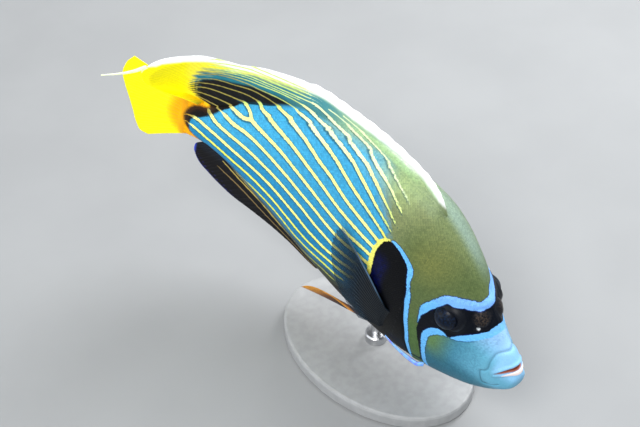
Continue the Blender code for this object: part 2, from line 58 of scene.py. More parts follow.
STATION = [0, .03, .06, .10, .15, .20, .25, .30, .36, .42, .50, .60, .70, .80, .88, .95, 1.0, 1.04]
BACK = [.047, .066, .091, .126, .173, .2165, .250, .2745, .2925, .2985, .2965, .2765, .2375, .181, .128, .090, .075, .071]
BELLY = [.006, -.047, -.084, -.121, -.153, -.181, -.203, -.220, -.235, -.246, -.252, -.244, -.215, -.167, -.116, -.079, -.069, -.069]
HALF_WIDTH = [.020, .0333, .0424, .0535, .0675, .0785, .0856, .0912, .0932, .0906, .0849, .0741, .0613, .0466, .0349, .0254, .0165, .0085]
EYE = (0.192, 0.110)
EYE_RADII = (0.0084, 0.0056, 0.0084)
EYE_DEPTH = 0.0048
ORBIT_RISE = 0.0048
ORBIT_WIDE = 0.050
ORBIT_AT = (0.185, 0.113)


def smooth_curve(xs, ys):
    x, y = np.asarray(xs, float), np.asarray(ys, float)
    h = np.diff(x)
    d = np.diff(y) / h
    m = np.zeros_like(y)
    m[0], m[-1] = d[0], d[-1]
    for i in range(1, len(x) - 1):
        if d[i - 1] * d[i] > 0:
            a, b = 2 * h[i] + h[i - 1], h[i] + 2 * h[i - 1]
            m[i] = (a + b) / (a / d[i - 1] + b / d[i])

    def at(q):
        q = np.clip(np.asarray(q, float), x[0], x[-1])
        i = np.clip(np.searchsorted(x, q) - 1, 0, len(h) - 1)
        t = (q - x[i]) / h[i]
        return ((2 * t ** 3 - 3 * t ** 2 + 1) * y[i] + (t ** 3 - 2 * t ** 2 + t) * h[i] * m[i]
                + (3 * t ** 2 - 2 * t ** 3) * y[i + 1] + (t ** 3 - t ** 2) * h[i] * m[i + 1])
    return at


def rounded(f, reach=0.018):
    grid = np.linspace(-0.1, 1.14, 1241)
    val = f(grid)
    n = int(round(reach / (grid[1] - grid[0])))
    k = np.hanning(2 * n + 3)
    k /= k.sum()
    sm = np.convolve(np.concatenate([val[0] + 0 * k[:n + 1], val, val[-1] + 0 * k[:n + 1]]), k, mode="valid")
    return lambda q: np.interp(q, grid, sm)


back_of = rounded(smooth_curve(STATION, BACK))
belly_of = rounded(smooth_curve(STATION, BELLY))
width_of = rounded(smooth_curve(STATION, HALF_WIDTH))


def ramp(x, a, b):
    t = np.clip((np.asarray(x, float) - a) / (b - a), 0, 1)
    return t * t * (3 - 2 * t)


# how far the upper side is drawn in over the snout and brow, and filled out at the nape
DRAW_S = [0, .03, .06, .10, .14, .18, .22, .26, .31, .36, .42, .50, .60]
DRAW_IN = [.20, .28, .33, .36, .32, .20, .09, .00, -.09, -.14, -.11, -.02, 0]
draw_of = rounded(smooth_curve(DRAW_S, DRAW_IN))


def drawn(s, t):
    """Factor on the half-width at height t of the upper half (0 at mid-height, 1 at the back)."""
    return 1 - draw_of(s) * ramp(t, .45, .95)


def flank(s, z):
    top, low, w = back_of(s), belly_of(s), width_of(s)
    t = (z - (top + low) / 2) / ((top - low) / 2)
    q = np.clip(1 - np.abs(t) ** PW, 0, 1)
    return w * q ** (1 / PW) * drawn(s, t)


FIN_ROOT, FIN_REACH, FIN_TIP = 0.0085, 0.030, 0.0014


def total(s, z):
    """Half-width of body and fleshy fin bases together."""
    top, low = back_of(s), belly_of(s)
    up, dn = np.clip(z - top, 0, None), np.clip(low - z, 0, None)
    fu = (FIN_ROOT * np.exp(-up / FIN_REACH) + FIN_TIP) * ramp(s, .325, .44) * (1 - .75 * ramp(s, .96, 1.01))
    fd = (FIN_ROOT * np.exp(-dn / FIN_REACH) + FIN_TIP) * ramp(s, .565, .63) * (1 - .75 * ramp(s, .94, .99))
    f = np.where(z > (top + low) / 2, fu, fd)
    return (flank(s, z) ** 3 + f ** 3) ** (1 / 3)


_g = np.linspace(-0.1, 1.5, 3201)
_d = _g - BEND_START
_th = BEND_RATE * (_d + np.sqrt(_d ** 2 + BEND_EASE ** 2)) / 2
_X = np.concatenate([[0], np.cumsum((np.cos(_th[1:]) + np.cos(_th[:-1])) / 2 * np.diff(_g))]) - 0.1
_Y = np.concatenate([[0], np.cumsum((np.sin(_th[1:]) + np.sin(_th[:-1])) / 2 * np.diff(_g))])
_piv = float(np.interp(PIVOT_S, _g, _X))


def fish_to_world(f, r, u):
    """Metres forward, right and up of the pivot, to the part's frame."""
    return np.stack([PIVOT_X - r, PIVOT_Y - f * math.cos(PITCH) - u * math.sin(PITCH),
                     HEIGHT - f * math.sin(PITCH) + u * math.cos(PITCH)], -1)


def pose(p):
    p = np.asarray(p, float)
    s, y, z = p[..., 0], p[..., 1], p[..., 2]
    th = np.interp(s, _g, _th)
    along = np.interp(s, _g, _X) - np.sin(th) * y
    right = np.interp(s, _g, _Y) + np.cos(th) * y
    return fish_to_world(-(along - _piv) * SL, right * SL, z * SL)


# ================================================================== markings
def lin(r, g, b):
    """Display colour (0-255) to linear."""
    c = np.array([r, g, b]) / 255.0
    return np.where(c <= .04045, c / 12.92, ((c + .055) / 1.055) ** 2.4)


C_BLUE_UP, C_BLUE_LOW = lin(62, 157, 202), lin(26, 127, 178)
C_OLIVE_TOP, C_OLIVE, C_OLIVE_LOW = lin(107, 119, 77), lin(90, 106, 65), lin(80, 108, 62)
C_CHEEK, C_CHEEK_FRONT, C_SNOUT = lin(54, 122, 148), lin(104, 172, 202), lin(146, 190, 236)
C_CHIN, C_LIP = lin(44, 104, 126), lin(136, 190, 230)
C_BLACK, C_NAVY = lin(4, 5, 9), lin(6, 16, 80)
C_BAND = lin(108, 188, 250)
C_YEL = lin(252, 240, 8)
C_ORANGE = lin(255, 174, 0)
C_LOWFLANK = lin(50, 58, 46)
C_TEALDARK = lin(10, 62, 78)
C_CREAM, C_CREAM_LOW = lin(250, 252, 152), lin(232, 240, 78)
C_PALE = lin(226, 246, 212)
C_FINBASE, C_WHITE = lin(164, 190, 130), lin(250, 253, 252)
C_TEALFIN = lin(58, 128, 140)
C_BROWNLINE = lin(150, 134, 66)
C_BREAST = lin(14, 15, 16)


def spline(points, n=10):
    """Dense polyline through points of any dimension (centripetal enough for small steps)."""
    p = np.asarray(points, float)
    d = np.concatenate([[0], np.cumsum(np.hypot(np.diff(p[:, 0]), np.diff(p[:, 1])))])
    q = np.linspace(0, d[-1], n * (len(p) - 1) + 1)
    return np.stack([smooth_curve(d, p[:, k])(q) for k in range(p.shape[1])], -1)


def stroke(pts, q):
    """Signed distance from points q (n, 2) to a stroke: rows (s, z, half-width)."""
    line = spline(pts, 5)
    out = np.full(len(q), 9.0)
    lo, hi = line[:, :2].min(0) - .05, line[:, :2].max(0) + .05
    near = np.nonzero(((q > lo) & (q < hi)).all(1))[0]
    if len(near) == 0:
        return out
    qq = q[near]
    best = np.full(len(near), 9.0)
    for a, b in zip(line[:-1], line[1:]):
        ab = b[:2] - a[:2]
        t = np.clip(((qq - a[:2]) @ ab) / max(ab @ ab, 1e-12), 0, 1)
        d = np.hypot(qq[:, 0] - a[0] - t * ab[0], qq[:, 1] - a[1] - t * ab[1]) - (a[2] + (b[2] - a[2]) * t)
        np.minimum(best, d, out=best)
    out[near] = best
    return out


def inside(poly, q):
    """Signed distance to a closed outline, negative inside."""
    p = np.vstack([poly, poly[:1]])
    d = np.full(len(q), 9.0)
    odd = np.zeros(len(q), bool)
    for a, b in zip(p[:-1], p[1:]):
        ab = b - a
        t = np.clip(((q - a) @ ab) / max(ab @ ab, 1e-12), 0, 1)
        np.minimum(d, np.hypot(q[:, 0] - a[0] - t * ab[0], q[:, 1] - a[1] - t * ab[1]), out=d)
        cross = ((a[1] > q[:, 1]) != (b[1] > q[:, 1]))
        xs = a[0] + (q[:, 1] - a[1]) / (b[1] - a[1] if b[1] != a[1] else 1e-12) * ab[0]
        odd ^= cross & (q[:, 0] < xs)
    return np.where(odd, -d, d)


# blue bands: (s, z, half-width)
MASK_UPPER = [(.148, .235, .0112), (.149, .205, .0112), (.1490, .192, .0108), (.1500, .1800, .0104), (.1530, .1700, .0104), (.1600, .1640, .0106), (.1700, .1625, .0112), (.180, .1622, .0108), (.190, .1600, .0112), (.1985, .1575, .0122), (.2075, .1560, .0112), (.216, .1540, .0098),
              (.226, .139, .0098), (.2345, .1215, .0096), (.243, .104, .0098), (.2495, .088, .0100), (.2525, .071, .0072),
              (.2535, .054, .0032), (.2525, .037, .0016), (.251, .022, .0004)]
MASK_LOWER_1 = [(.093, .160, .0085), (.0980, .137, .0085), (.1025, .1240, .0085), (.1060, .1130, .0078), (.1150, .1035, .0078), (.1250, .0940, .0080), (.1370, .0840, .0088), (.1480, .0735, .0078), (.1570, .0640, .0056),
                (.1680, .0540, .0012)]
MASK_LOWER_2 = [(.176, .0505, .0008), (.186, .0515, .0048), (.198, .0465, .0094), (.209, .036, .0096), (.2175, .020, .0090), (.2222, .002, .0086), (.2215, -.016, .0080),
                (.2185, -.035, .0070), (.2155, -.055, .0063), (.2115, -.075, .0059), (.2075, -.095, .0058), (.2035, -.115, .0058), (.199, -.135, .0060), (.196, -.160, .0060),
                (.197, -.185, .0055), (.200, -.215, .005)]
PATCH_FRONT = [(.395, .1805, .0006), (.387, .1842, .0038), (.372, .1842, .0055), (.356, .180, .0062), (.337, .1705, .0070), (.323, .1585, .0078), (.3165, .142, .0070),
               (.312, .122, .0060), (.306, .105, .0058), (.298, .084, .0075), (.294, .061, .0075), (.2865, .030, .0070), (.2805, .003, .0066), (.273, -.022, .0062),
               (.2645, -.050, .0058), (.259, -.078, .0058), (.2515, -.103, .0056), (.2465, -.122, .0050), (.243, -.138, .0042), (.241, -.160, .0040), (.245, -.190, .0042), (.252, -.215, .0045)]
PATCH_RIM = [(.391, .1815, .0012), (.400, .1772, .0024), (.4085, .169, .0034), (.4165, .155, .0044), (.4215, .138, .0050), (.4245, .115, .0054), (.4235, .09, .0062), (.4205, .065, .0070),
             (.4180, .045, .0066), (.416, .022, .0060), (.418, -.002, .0050), (.424, -.03, .0035), (.435, -.06, .0010)]
MASK_BLACK = [(.086, .200), (.0980, .137), (.1025, .1240), (.1060, .1130), (.1150, .1035), (.1250, .0940), (.1370, .0840), (.148, .0735), (.157, .0640), (.170, .0535), (.186, .0515), (.198, .0465),
              (.209, .036), (.2175, .020), (.2222, .002), (.2215, -.016), (.2185, -.035), (.2155, -.055), (.2115, -.075), (.2075, -.095), (.204, -.112), (.203, -.127), (.215, -.130),
              (.235, -.131), (.246, -.128), (.247, -.122), (.235, -.1235), (.219, -.1215), (.2155, -.112), (.2170, -.100), (.2235, -.075), (.2305, -.050), (.2385, -.030), (.2475, .000), (.2515, .030),
              (.252, .050), (.2505, .068), (.2475, .096), (.2345, .1215), (.226, .139), (.216, .1540), (.2075, .1560), (.1985, .1575), (.190, .1600), (.180, .1622), (.1600, .1640), (.1530, .1700),
              (.1500, .1800), (.149, .205), (.148, .240), (.120, .270)]
PATCH_BLACK = [(.391, .1815), (.372, .1842), (.356, .180), (.337, .1705), (.323, .1585), (.3165, .142), (.312, .122), (.306, .105), (.298, .084), (.294, .061), (.2865, .030),
               (.2805, .003), (.273, -.022), (.2645, -.050), (.259, -.078), (.2515, -.103), (.2465, -.122), (.243, -.138), (.241, -.160), (.246, -.190), (.250, -.26),
               (.40, -.33), (.56, -.36), (.60, -.262), (.565, -.232), (.520, -.190), (.480, -.148), (.445, -.090), (.425, -.040), (.4175, -.005), (.4165, .022), (.4185, .045), (.421, .065), (.4235, .09),
               (.4245, .115), (.4215, .138), (.4165, .155), (.4085, .169), (.400, .1772)]

# stripes of the flank: centre line (s, z), and where the full width starts and ends
STRIPES = [
    ([(.405, .2800), (.43, .2859), (.47, .2906), (.51, .2950), (.55, .2990), (.60, .302), (.66, .303)], .0030, .42, .60, .0),
    ([(.400, .2560), (.43, .2659), (.47, .2753), (.51, .2808), (.55, .2841), (.62, .2871), (.66, .2905), (.70, .291)], .0042, .41, .64, .3),
    ([(.400, .2250), (.43, .2382), (.47, .2494), (.51, .2610), (.55, .2694), (.585, .2690), (.62, .2671), (.66, .2665), (.70, .2710), (.73, .2765), (.76, .2690), (.82, .2555), (.88, .2450), (.94, .2370), (1.0, .225)], .0050, .412, .74, .5),
    ([(.400, .1990), (.43, .2094), (.47, .2194), (.51, .2310), (.55, .2418), (.585, .2490), (.62, .2506), (.66, .2482), (.685, .2440), (.70, .2425), (.73, .2460), (.76, .2482), (.79, .2460), (.82, .2418), (.88, .2288), (.94, .2200), (1.0, .2090), (1.04, .188)], .0054, .410, .76, 1),
    ([(.400, .1690), (.43, .1788), (.47, .1865), (.51, .1940), (.55, .2012), (.585, .2095), (.62, .2176), (.66, .2224), (.70, .2235), (.73, .2210), (.76, .2208), (.79, .2235), (.82, .2224), (.88, .2141), (.94, .2112), (.98, .2059), (1.02, .1882), (1.05, .160)], .0057, .408, .77, 1),
    ([(.416, .1440), (.43, .1453), (.47, .1488), (.51, .1515), (.55, .1553), (.585, .1630), (.62, .1718), (.66, .1776), (.70, .1876), (.73, .1925), (.76, .1932), (.79, .1908), (.82, .1955), (.85, .1995), (.88, .2000), (.94, .1894), (.98, .1859), (1.02, .1700), (1.055, .142)], .0062, .40, .825, 1),
    ([(.418, .1160), (.43, .1153), (.47, .1129), (.51, .1118), (.55, .1124), (.585, .1170), (.62, .1241), (.66, .1324), (.70, .1406), (.73, .1475), (.76, .1524), (.79, .1553), (.82, .1562), (.845, .1550), (.858, .1610), (.868, .1710), (.885, .1752), (.91, .1740), (.94, .1694), (.98, .1641), (1.02, .1524), (1.06, .125)], .0064, .40, .872, 1),
    ([(.420, .0850), (.43, .0841), (.47, .0771), (.51, .0700), (.55, .0688), (.585, .0710), (.62, .0759), (.66, .0835), (.70, .0918), (.73, .0990), (.76, .1059), (.79, .1110), (.82, .1147), (.85, .1175), (.868, .1195), (.874, .1205)], .0066, .40, .90, 1),
    ([(.418, .0540), (.43, .0512), (.47, .0429), (.51, .0310), (.55, .0253), (.585, .0262), (.62, .0318), (.66, .0365), (.70, .0447), (.73, .0512), (.76, .0576), (.79, .0645), (.82, .0706), (.85, .0765), (.88, .0782), (.91, .0775), (.94, .0825), (.955, .0850), (.98, .0871), (1.02, .0935), (1.06, .0960)], .0066, .40, .945, 1),
    ([(.420, .0220), (.44, .0150), (.47, .0041), (.51, -.0095), (.55, -.0171), (.585, -.0180), (.62, -.0150), (.66, -.0065), (.70, .0006), (.73, .0065), (.76, .0124), (.79, .0175), (.82, .0229), (.85, .0285), (.88, .0329), (.91, .0370), (.94, .0435), (.962, .0510), (.975, .0600), (.988, .0680)], .0066, .41, 1.2, 1),
    ([(.430, -.0100), (.47, -.0290), (.51, -.0470), (.55, -.0582), (.585, -.0640), (.62, -.0640), (.66, -.0559), (.70, -.0476), (.73, -.0400), (.76, -.0329), (.79, -.0270), (.82, -.0224), (.85, -.0180), (.88, -.0129), (.91, -.0060), (.94, .0035), (.96, .0090), (.98, .0135), (1.0, .0190), (1.02, .0206), (1.035, .0160), (1.05, .003)], .0066, .44, 1.022, 1),
    ([(.440, -.0400), (.47, -.0640), (.51, -.0810), (.55, -.0935), (.585, -.1030), (.62, -.1076), (.66, -.1040), (.70, -.0947), (.73, -.0855), (.76, -.0765), (.79, -.0700), (.82, -.0635), (.85, -.0590), (.88, -.0547), (.91, -.0480), (.94, -.0382), (.96, -.0325), (.98, -.0271), (1.0, -.0200), (1.02, -.0141), (1.035, -.012), (1.05, -.022)], .0062, .45, 1.022, 1),
    ([(.470, -.0980), (.51, -.1170), (.55, -.1276), (.585, -.1365), (.62, -.1440), (.66, -.1455), (.70, -.1347), (.73, -.1240), (.76, -.1159), (.79, -.1100), (.82, -.1053), (.85, -.1025), (.88, -.1000), (.90, -.098)], .0054, .49, .84, .75),
    ([(.500, -.1480), (.53, -.1590), (.55, -.1635), (.585, -.1740), (.62, -.1841), (.66, -.1880), (.70, -.1830), (.75, -.1700), (.80, -.1500)], .0046, .52, .64, .45),
]
FORK = [[(.872, .1200, .0046), (.880, .1270, .0042), (.888, .1350, .0044), (.897, .1420, .0052), (.905, .1455, .0040), (.92, .1440, .0022), (.95, .1425, .0021), (.98, .1418, .0021),
         (1.01, .1380, .0021), (1.03, .1280, .0018), (1.055, .112, .0010)],
        [(.872, .1200, .0046), (.882, .1140, .0038), (.895, .1085, .0036), (.91, .1068, .0042), (.925, .1085, .0052), (.935, .1115, .0040), (.95, .1130, .0022), (.98, .1135, .0021),
         (1.01, .1130, .0021), (1.04, .1080, .0018), (1.06, .1000, .0010)]]
DARK_EDGE = [(.740, .2450), (.765, .2290), (.787, .2190), (.828, .1920), (.873, .1690), (.905, .1450), (.933, .1070), (.9535, .0865), (.972, .0630), (.998, .0345), (1.016, .0220),
             (1.026, .0020), (1.0285, -.0165), (1.026, -.034), (1.014, -.050), (1.000, -.0560)]
TAIL_EDGE = [(.984, .074), (.992, .0715), (1.010, .0665), (1.026, .0580), (1.036, .0440), (1.043, .0250), (1.047, .0060), (1.044, -.0120), (1.035, -.0300), (1.022, -.0440), (1.008, -.0540), (.995, -.0640)]
ANAL_LINES = [[(.60, -.2470, .0006), (.66, -.2320, .0012), (.72, -.2060, .0014), (.78, -.1760, .0014), (.84, -.1380, .0012), (.88, -.1120, .0006)],
              [(.60, -.2640, .0006), (.68, -.2410, .0012), (.74, -.2140, .0012), (.80, -.1790, .0012), (.86, -.1420, .0010), (.91, -.1080, .0004)],
              [(.575, -.2570, .0018), (.62, -.2530, .0022), (.66, -.2420, .0024), (.70, -.2250, .0026), (.76, -.2000, .0030), (.80, -.1680, .0034), (.835, -.1480, .0034), (.868, -.1290, .0030), (.895, -.108, .0012)],
              [(.585, -.2800, .0012), (.62, -.2730, .0018), (.70, -.2440, .0020), (.756, -.2190, .0020), (.8035, -.1890, .0022), (.868, -.1535, .0020), (.927, -.1120, .0010)],
              [(.60, -.2930, .0006), (.70, -.2620, .0012), (.78, -.2300, .0014), (.88, -.1740, .0020), (.921, -.1520, .0014), (.94, -.140, .0004)]]


def poly_gap(line, s, z, left_is_positive=True):
    """Distance to an open polyline, signed by which side of it a point lies on."""
    p = spline(line, 4)
    q = np.stack([s, z], -1)
    best = np.full(len(q), 9.0)
    sign = np.ones(len(q))
    for a, b in zip(p[:-1], p[1:]):
        ab = b - a
        t = np.clip(((q - a) @ ab) / max(ab @ ab, 1e-12), 0, 1)
        dx, dz = q[:, 0] - a[0] - t * ab[0], q[:, 1] - a[1] - t * ab[1]
        d = np.hypot(dx, dz)
        upd = d < best
        best[upd] = d[upd]
        sign[upd] = np.sign(ab[0] * (q[upd, 1] - a[1]) - ab[1] * (q[upd, 0] - a[0]))
    return best * np.where(sign == 0, 1, sign)


def mixc(a, b, t):
    return a + (b - a) * np.asarray(t)[:, None]


def marks(s, z, zone=None, far=0.0):
    """Soft ground colour, and signed distances (in 1/1000 lengths) to every sharp marking.

    zone: 'skin', 'dorsal', 'anal', 'caudal'; far: 1 on the left side, where the mask's upper edge sits higher."""
    s, z = np.asarray(s, float).ravel(), np.asarray(z, float).ravel()
    far = far + 0 * s
    q_mask = np.stack([s, z - .022 * far * ramp(s, .132, .160) * (1 - ramp(s, .215, .25)) * ramp(z, .125, .150)], -1)
    q = np.stack([s, z], -1)
    top, low = back_of(s), belly_of(s)
    dark_side = -inside(np.array(DARK_EDGE + [(1.0, -.10), (1.30, -.20), (1.30, .50), (.70, .50), (.70, .262)]), q)     # positive behind
    upper = [(1.40, .50), (1.00, .50), (.990, .080)] if zone == "caudal" else [(1.40, .24), (1.10, .115), (1.02, .086), (.988, .080)]
    tail_side = -inside(np.array(TAIL_EDGE + [(1.0, -.10), (1.05, -.25), (1.40, -.25)] + upper), q)

    # --- ground colour -------------------------------------------------------------
    t_v = np.clip((z - belly_of(s)) / (top - low), 0, 1.3)
    blue = mixc(np.tile(C_BLUE_LOW, (len(s), 1)), C_BLUE_UP, ramp(t_v, .25, .80))
    lowline = np.interp(s, [.40, .5, .6, .7, .8, .9, 1.0], [-.07, -.105, -.150, -.145, -.112, -.073, -.050])
    blue = mixc(blue, C_LOWFLANK, ramp(lowline - z, -.012, .040))
    olive = mixc(np.tile(C_OLIVE, (len(s), 1)), C_OLIVE_TOP, ramp(z - .2, .0, .09))
    olive = mixc(olive, C_OLIVE_LOW, ramp(.06 - z, 0, .08))
    olive = mixc(olive, lin(122, 126, 70), ramp(.090 - np.hypot(s - .29, z - .205), 0, .09) * .6)
    olive = mixc(olive, lin(126, 136, 94), ramp(s, .33, .41) * .8)
    # painted highlight: the nape is painted paler up to the ridge, paler and bluer on the left side, for light grazing
    # over the back
    olive = mixc(olive, mixc(np.tile(lin(108, 124, 88), (len(s), 1)), lin(140, 166, 160), far), ramp(z - top, -.014 - .05 * far, .004) * ramp(s, .16, .26) * (.5 + .12 * far))
    edge_s = np.interp(z, [-.3, .17, .20, .25, .28, .30], [.43, .404, .404, .412, .428, .445])
    body = mixc(blue, olive, ramp(edge_s - s + .020 * ramp(z, .19, .26), -.022 - .060 * ramp(z, .18, .26), .012))
    # painted highlight: a pale streak along the back at the front of the spiny dorsal fin
    body = mixc(body, lin(190, 212, 170), ramp(z - top, -.012, .004) * ramp(s, .325, .37) * (1 - ramp(s, .44, .50)) * .4)
    # face in front of the mask
    face = mixc(np.tile(C_CHEEK, (len(s), 1)), C_CHEEK_FRONT, ramp(.150 - s, -.05, .09) * .9)
    face = mixc(face, C_SNOUT, ramp(z - (.055 + .35 * s), -.03, .030) * ramp(.16 - s, 0, .05))
    face = mixc(face, C_LIP, ramp(.060 - s, -.006, .012) * ramp(z, .015, .05))
    face = mixc(face, C_CHIN, ramp(.005 - z - .25 * np.clip(.07 - s, 0, .07), 0, .06) * .85)
    face = mixc(face, lin(98, 130, 78), ramp(s, .140, .205) * ramp(z, -.085, .0) * .95)
    in_front = np.interp(z, [-.30, -.20, -.13, -.075, -.016, .002, .036, .05, .056, .0735, .1035, .124, .137, .2],
                         [.215, .200, .199, .2115, .2215, .2222, .209, .186, .168, .148, .115, .1025, .098, .090])
    body = mixc(body, face, ramp(in_front - s, -.003, .003))
    # top of the flank fades into the pale fin base, partly the fin base's own colour and partly painted highlight along
    # the back
    pale = np.maximum(ramp(z - top, -.016, .012), ramp(z - top, -.055, -.01) * (1 - ramp(s, .47, .60)) * .75) * ramp(s, .36, .45) * (1 - ramp(s, .64, .74))
    body = mixc(body, C_FINBASE, pale * .65)

    z_fin = np.maximum(np.interp(s, [.40, .52, .60, .66, .70, .755, .786, .827, .87, .95, 1.02], [.300, .298, .286, .266, .250, .233, .219, .192, .160, .105, .085]), top)

    # --- dorsal fin ----------------------------------------------------------------
    up = ramp(z - top, -.004, .006)
    margin = np.interp(s, [.33, .352, .38, .425, .50, .58, .65, .72, .79, .865, .94, 1.005, 1.06, 1.108, 1.14, 1.16],
                       [.287, .315, .337, .351, .354, .351, .3455, .3425, .320, .294, .2665, .266, .2515, .230, .200, .165])
    # the spiny fin's pale ground, lightest towards its margin: partly its own colour, partly painted highlight
    spiny = mixc(np.tile(lin(168, 204, 150), (len(s), 1)), lin(214, 240, 204), ramp(margin - z, .045, .018))
    rise = np.clip((z - z_fin) / np.maximum(margin - z_fin, .01), 0, 1)
    # painted shade: the soft dorsal's teal is darkest at its root against the body and lightens towards the margin
    teal = mixc(np.tile(lin(6, 44, 58), (len(s), 1)), lin(34, 118, 136), ramp(rise, .02, .50))
    teal = mixc(teal, lin(84, 156, 160), (1 - ramp(s, .74, .85)) * .65)
    teal = mixc(teal, lin(110, 172, 170), ramp(rise, .55, .85) * (1 - ramp(s, .80, .90)))
    fin = mixc(spiny, teal, ramp(s, .58, .72) * ramp(margin - z, .022, .040))
    yel_line = np.interp(s, [.74, .80, .87, .91, .96, 1.014, 1.030, 1.042, 1.050, 1.060], [.290, .274, .256, .246, .239, .212, .188, .160, .110, .05])
    gold = ramp(.006 - np.abs(poly_gap([(.973, .060), (.980, .069), (.990, .075), (1.019, .084), (1.066, .101), (1.098, .119), (1.134, .140)], s, z)), 0, .006) * ramp(s, .972, .984)
    black_end = np.interp(z, [.060, .069, .090, .114, .150, .175], [.984, .990, 1.012, 1.030, 1.034, 1.022]) + .012 * np.sin(z * 760 + s * 150) * ramp(z, .09, .12)
    fin_black = ramp(dark_side, -.001, .001) * (1 - gold) * ramp(np.interp(s, [.74, .786, .82, .88, .90, .937, .978, 1.012, 1.03, 1.06], [.225, .222, .224, .214, .2085, .196, .188, .170, .15, .12]) - z, -.008, .005)
    streak = .5 + .5 * np.sin((z + .33 * s) * 620 + 2 * np.sin(s * 40)) * np.sin((z + .36 * s) * 291 + 1.0)
    fin_black = fin_black * ramp(black_end + .022 * (streak - .5) - s, -.024, .012)
    fin = mixc(fin, lin(16, 17, 18), fin_black)
    rear_ = ramp(s, .90, .98)
    yf = ramp(z - yel_line - .005 + (.013 + .022 * rear_) * (streak - .5), -.012 - .016 * rear_, .010)
    yf = np.clip(yf, 0, 1) * ramp(s, .74, .86)
    fin = mixc(fin, lin(254, 240, 60), np.clip(yf, 0, 1))
    fin = mixc(fin, lin(250, 236, 40), ramp(s - black_end, -.004, .016) * ramp(.175 - z, 0, .01))
    fin = mixc(fin, lin(252, 206, 10), gold * .95)
    fin = mixc(fin, C_YEL, ramp(s, 1.035, 1.060))
    white_w = np.interp(s, [.33, .36, .40, .46, .60, .66, .80, .90, .96, 1.02, 1.07, 1.12, 1.145], [.014, .018, .021, .025, .030, .028, .024, .020, .014, .014, .016, .013, -.004])
    fin = mixc(fin, C_WHITE, ramp(white_w - (margin - z), -.008, .002))

    # --- caudal fin and anal fin ------------------------------------------------------
    caud = mixc(np.tile(C_ORANGE, (len(s), 1)), C_YEL, np.maximum(ramp(tail_side, .022, .058), ramp(z, .068, .090)))
    caud = mixc(np.tile(lin(120, 76, 10), (len(s), 1)), caud, ramp(tail_side, -.006, .007))
    anal = mixc(np.tile(lin(12, 11, 15), (len(s), 1)), lin(26, 34, 46), ramp(z - low, -.05, -.01) * .6)
    anal = mixc(anal, lin(40, 110, 150), ramp(z - low, -.022, -.004) * ramp(s, .66, .73) * (1 - ramp(s, .83, .88)))
    anal_edge = np.interp(s, [.58, .612, .645, .70, .765, .825, .88, .93, .962, .987, 1.001, 1.009], [-.270, -.292, -.288, -.2735, -.260, -.2485, -.236, -.210, -.186, -.163, -.138, -.10])
    speck = ramp(np.sin(s * 260 + z * 90) * np.sin(z * 330 - s * 120), .45, .9) * ramp(s, .84, .95)
    anal = mixc(anal, lin(52, 48, 130), speck * .45 * ramp(.030 - (z - anal_edge), 0, .02))
    anal = mixc(anal, lin(50, 64, 160), ramp(.0040 - np.abs(z - anal_edge - .001), 0, .003) * ramp(s, .84, .99) * .8)
    anal = mixc(anal, lin(60, 80, 200), ramp(s, 1.000, 1.008) * ramp(z, -.17, -.12))

    if zone == "dorsal":
        foot = 1 - ramp(z - z_fin, -.002, .012 + .03 * ramp(s, .36, .44) * (1 - ramp(s, .62, .70)))
        ground = mixc(fin, body, foot * (1 - ramp(s, .80, .84)))
    elif zone == "anal":
        ground = anal
    elif zone == "caudal":
        ground = caud
    else:
        up_fin = ramp(z - z_fin, -.003, .012) * ramp(s, .40, .48)
        ground = mixc(body, fin, up_fin)
        dz = ramp(dark_side, -.0008, .0008)
        root = mixc(np.tile(lin(20, 18, 18), (len(s), 1)), lin(70, 44, 22), ramp(tail_side, -.020, -.002) * .6)
        ground = mixc(ground, mixc(root, fin, ramp(z - .10, 0, .03)), dz)
        ground = mixc(ground, caud, ramp(tail_side, -.004, .002) * ramp(s, .97, 1.0))
        ground = mixc(ground, anal, ramp(low + .010 - z, -.008, .010) * ramp(s, .60, .68) * (1 - ramp(s, .965, .985)))

    # --- sharp markings --------------------------------------------------------------
    d_blue = np.full(len(s), 9.0)
    for st in (MASK_UPPER, MASK_LOWER_1, MASK_LOWER_2, PATCH_FRONT):
        np.minimum(d_blue, stroke(st, q_mask), out=d_blue)
    d_black = np.minimum(inside(np.array(MASK_BLACK), q_mask), inside(np.array(PATCH_BLACK), q))
    d_yel = np.full(len(s), 9.0)
    d_dark = np.full(len(s), 9.0)
    lean = np.clip(1 / np.sqrt(1 + ((total(s, z + .0015) - total(s, z - .0015)) / .003) ** 2), .42, 1) if zone == "skin" else 1.0
    bold = np.zeros(len(s))
    for line, hw, full, end, power in STRIPES:
        ln = spline([(a, b) for a, b in line], 6)
        zc = np.interp(s, ln[:, 0], ln[:, 1])
        slope = np.interp(s, ln[:, 0], np.gradient(ln[:, 1], ln[:, 0] + np.arange(len(ln)) * 1e-9))
        cosb = 1 / np.sqrt(1 + slope ** 2)
        s0, s1 = ln[0, 0], ln[-1, 0]
        w = hw * ramp(s, s0 - .002, max(full, s0) + .006) + (0.0021 - hw) * ramp(s, end - .006, end + .008)
        out = np.maximum(s0 - s, s - s1)
        w = w - np.clip(out, 0, None) * 3.0
        w = np.where(s > 1.03, w - .0012 * ramp(s, 1.03, 1.055), w) * .84 * lean
        w = w * (1 - .40 * ramp(.52 - s, 0, .10) * ramp(z, .15, .21))
        d = np.abs(z - zc) * cosb - w
        np.minimum(d_yel, np.where(out > .02, 9.0, d), out=d_yel)
        shade = np.abs(z - zc + .0012) * cosb - (w + .0024 * power * lean)
        np.minimum(d_dark, np.where((out > 0) | (s > end), 9.0, shade), out=d_dark)
    for st in FORK:
        np.minimum(d_yel, stroke(st, q), out=d_yel)
        sh = [(a, b - .0018, c + .0024) for a, b, c in st if a < .935]
        np.minimum(d_dark, stroke(sh, q), out=d_dark)
    np.minimum(d_yel, stroke(PATCH_RIM, q), out=d_yel)
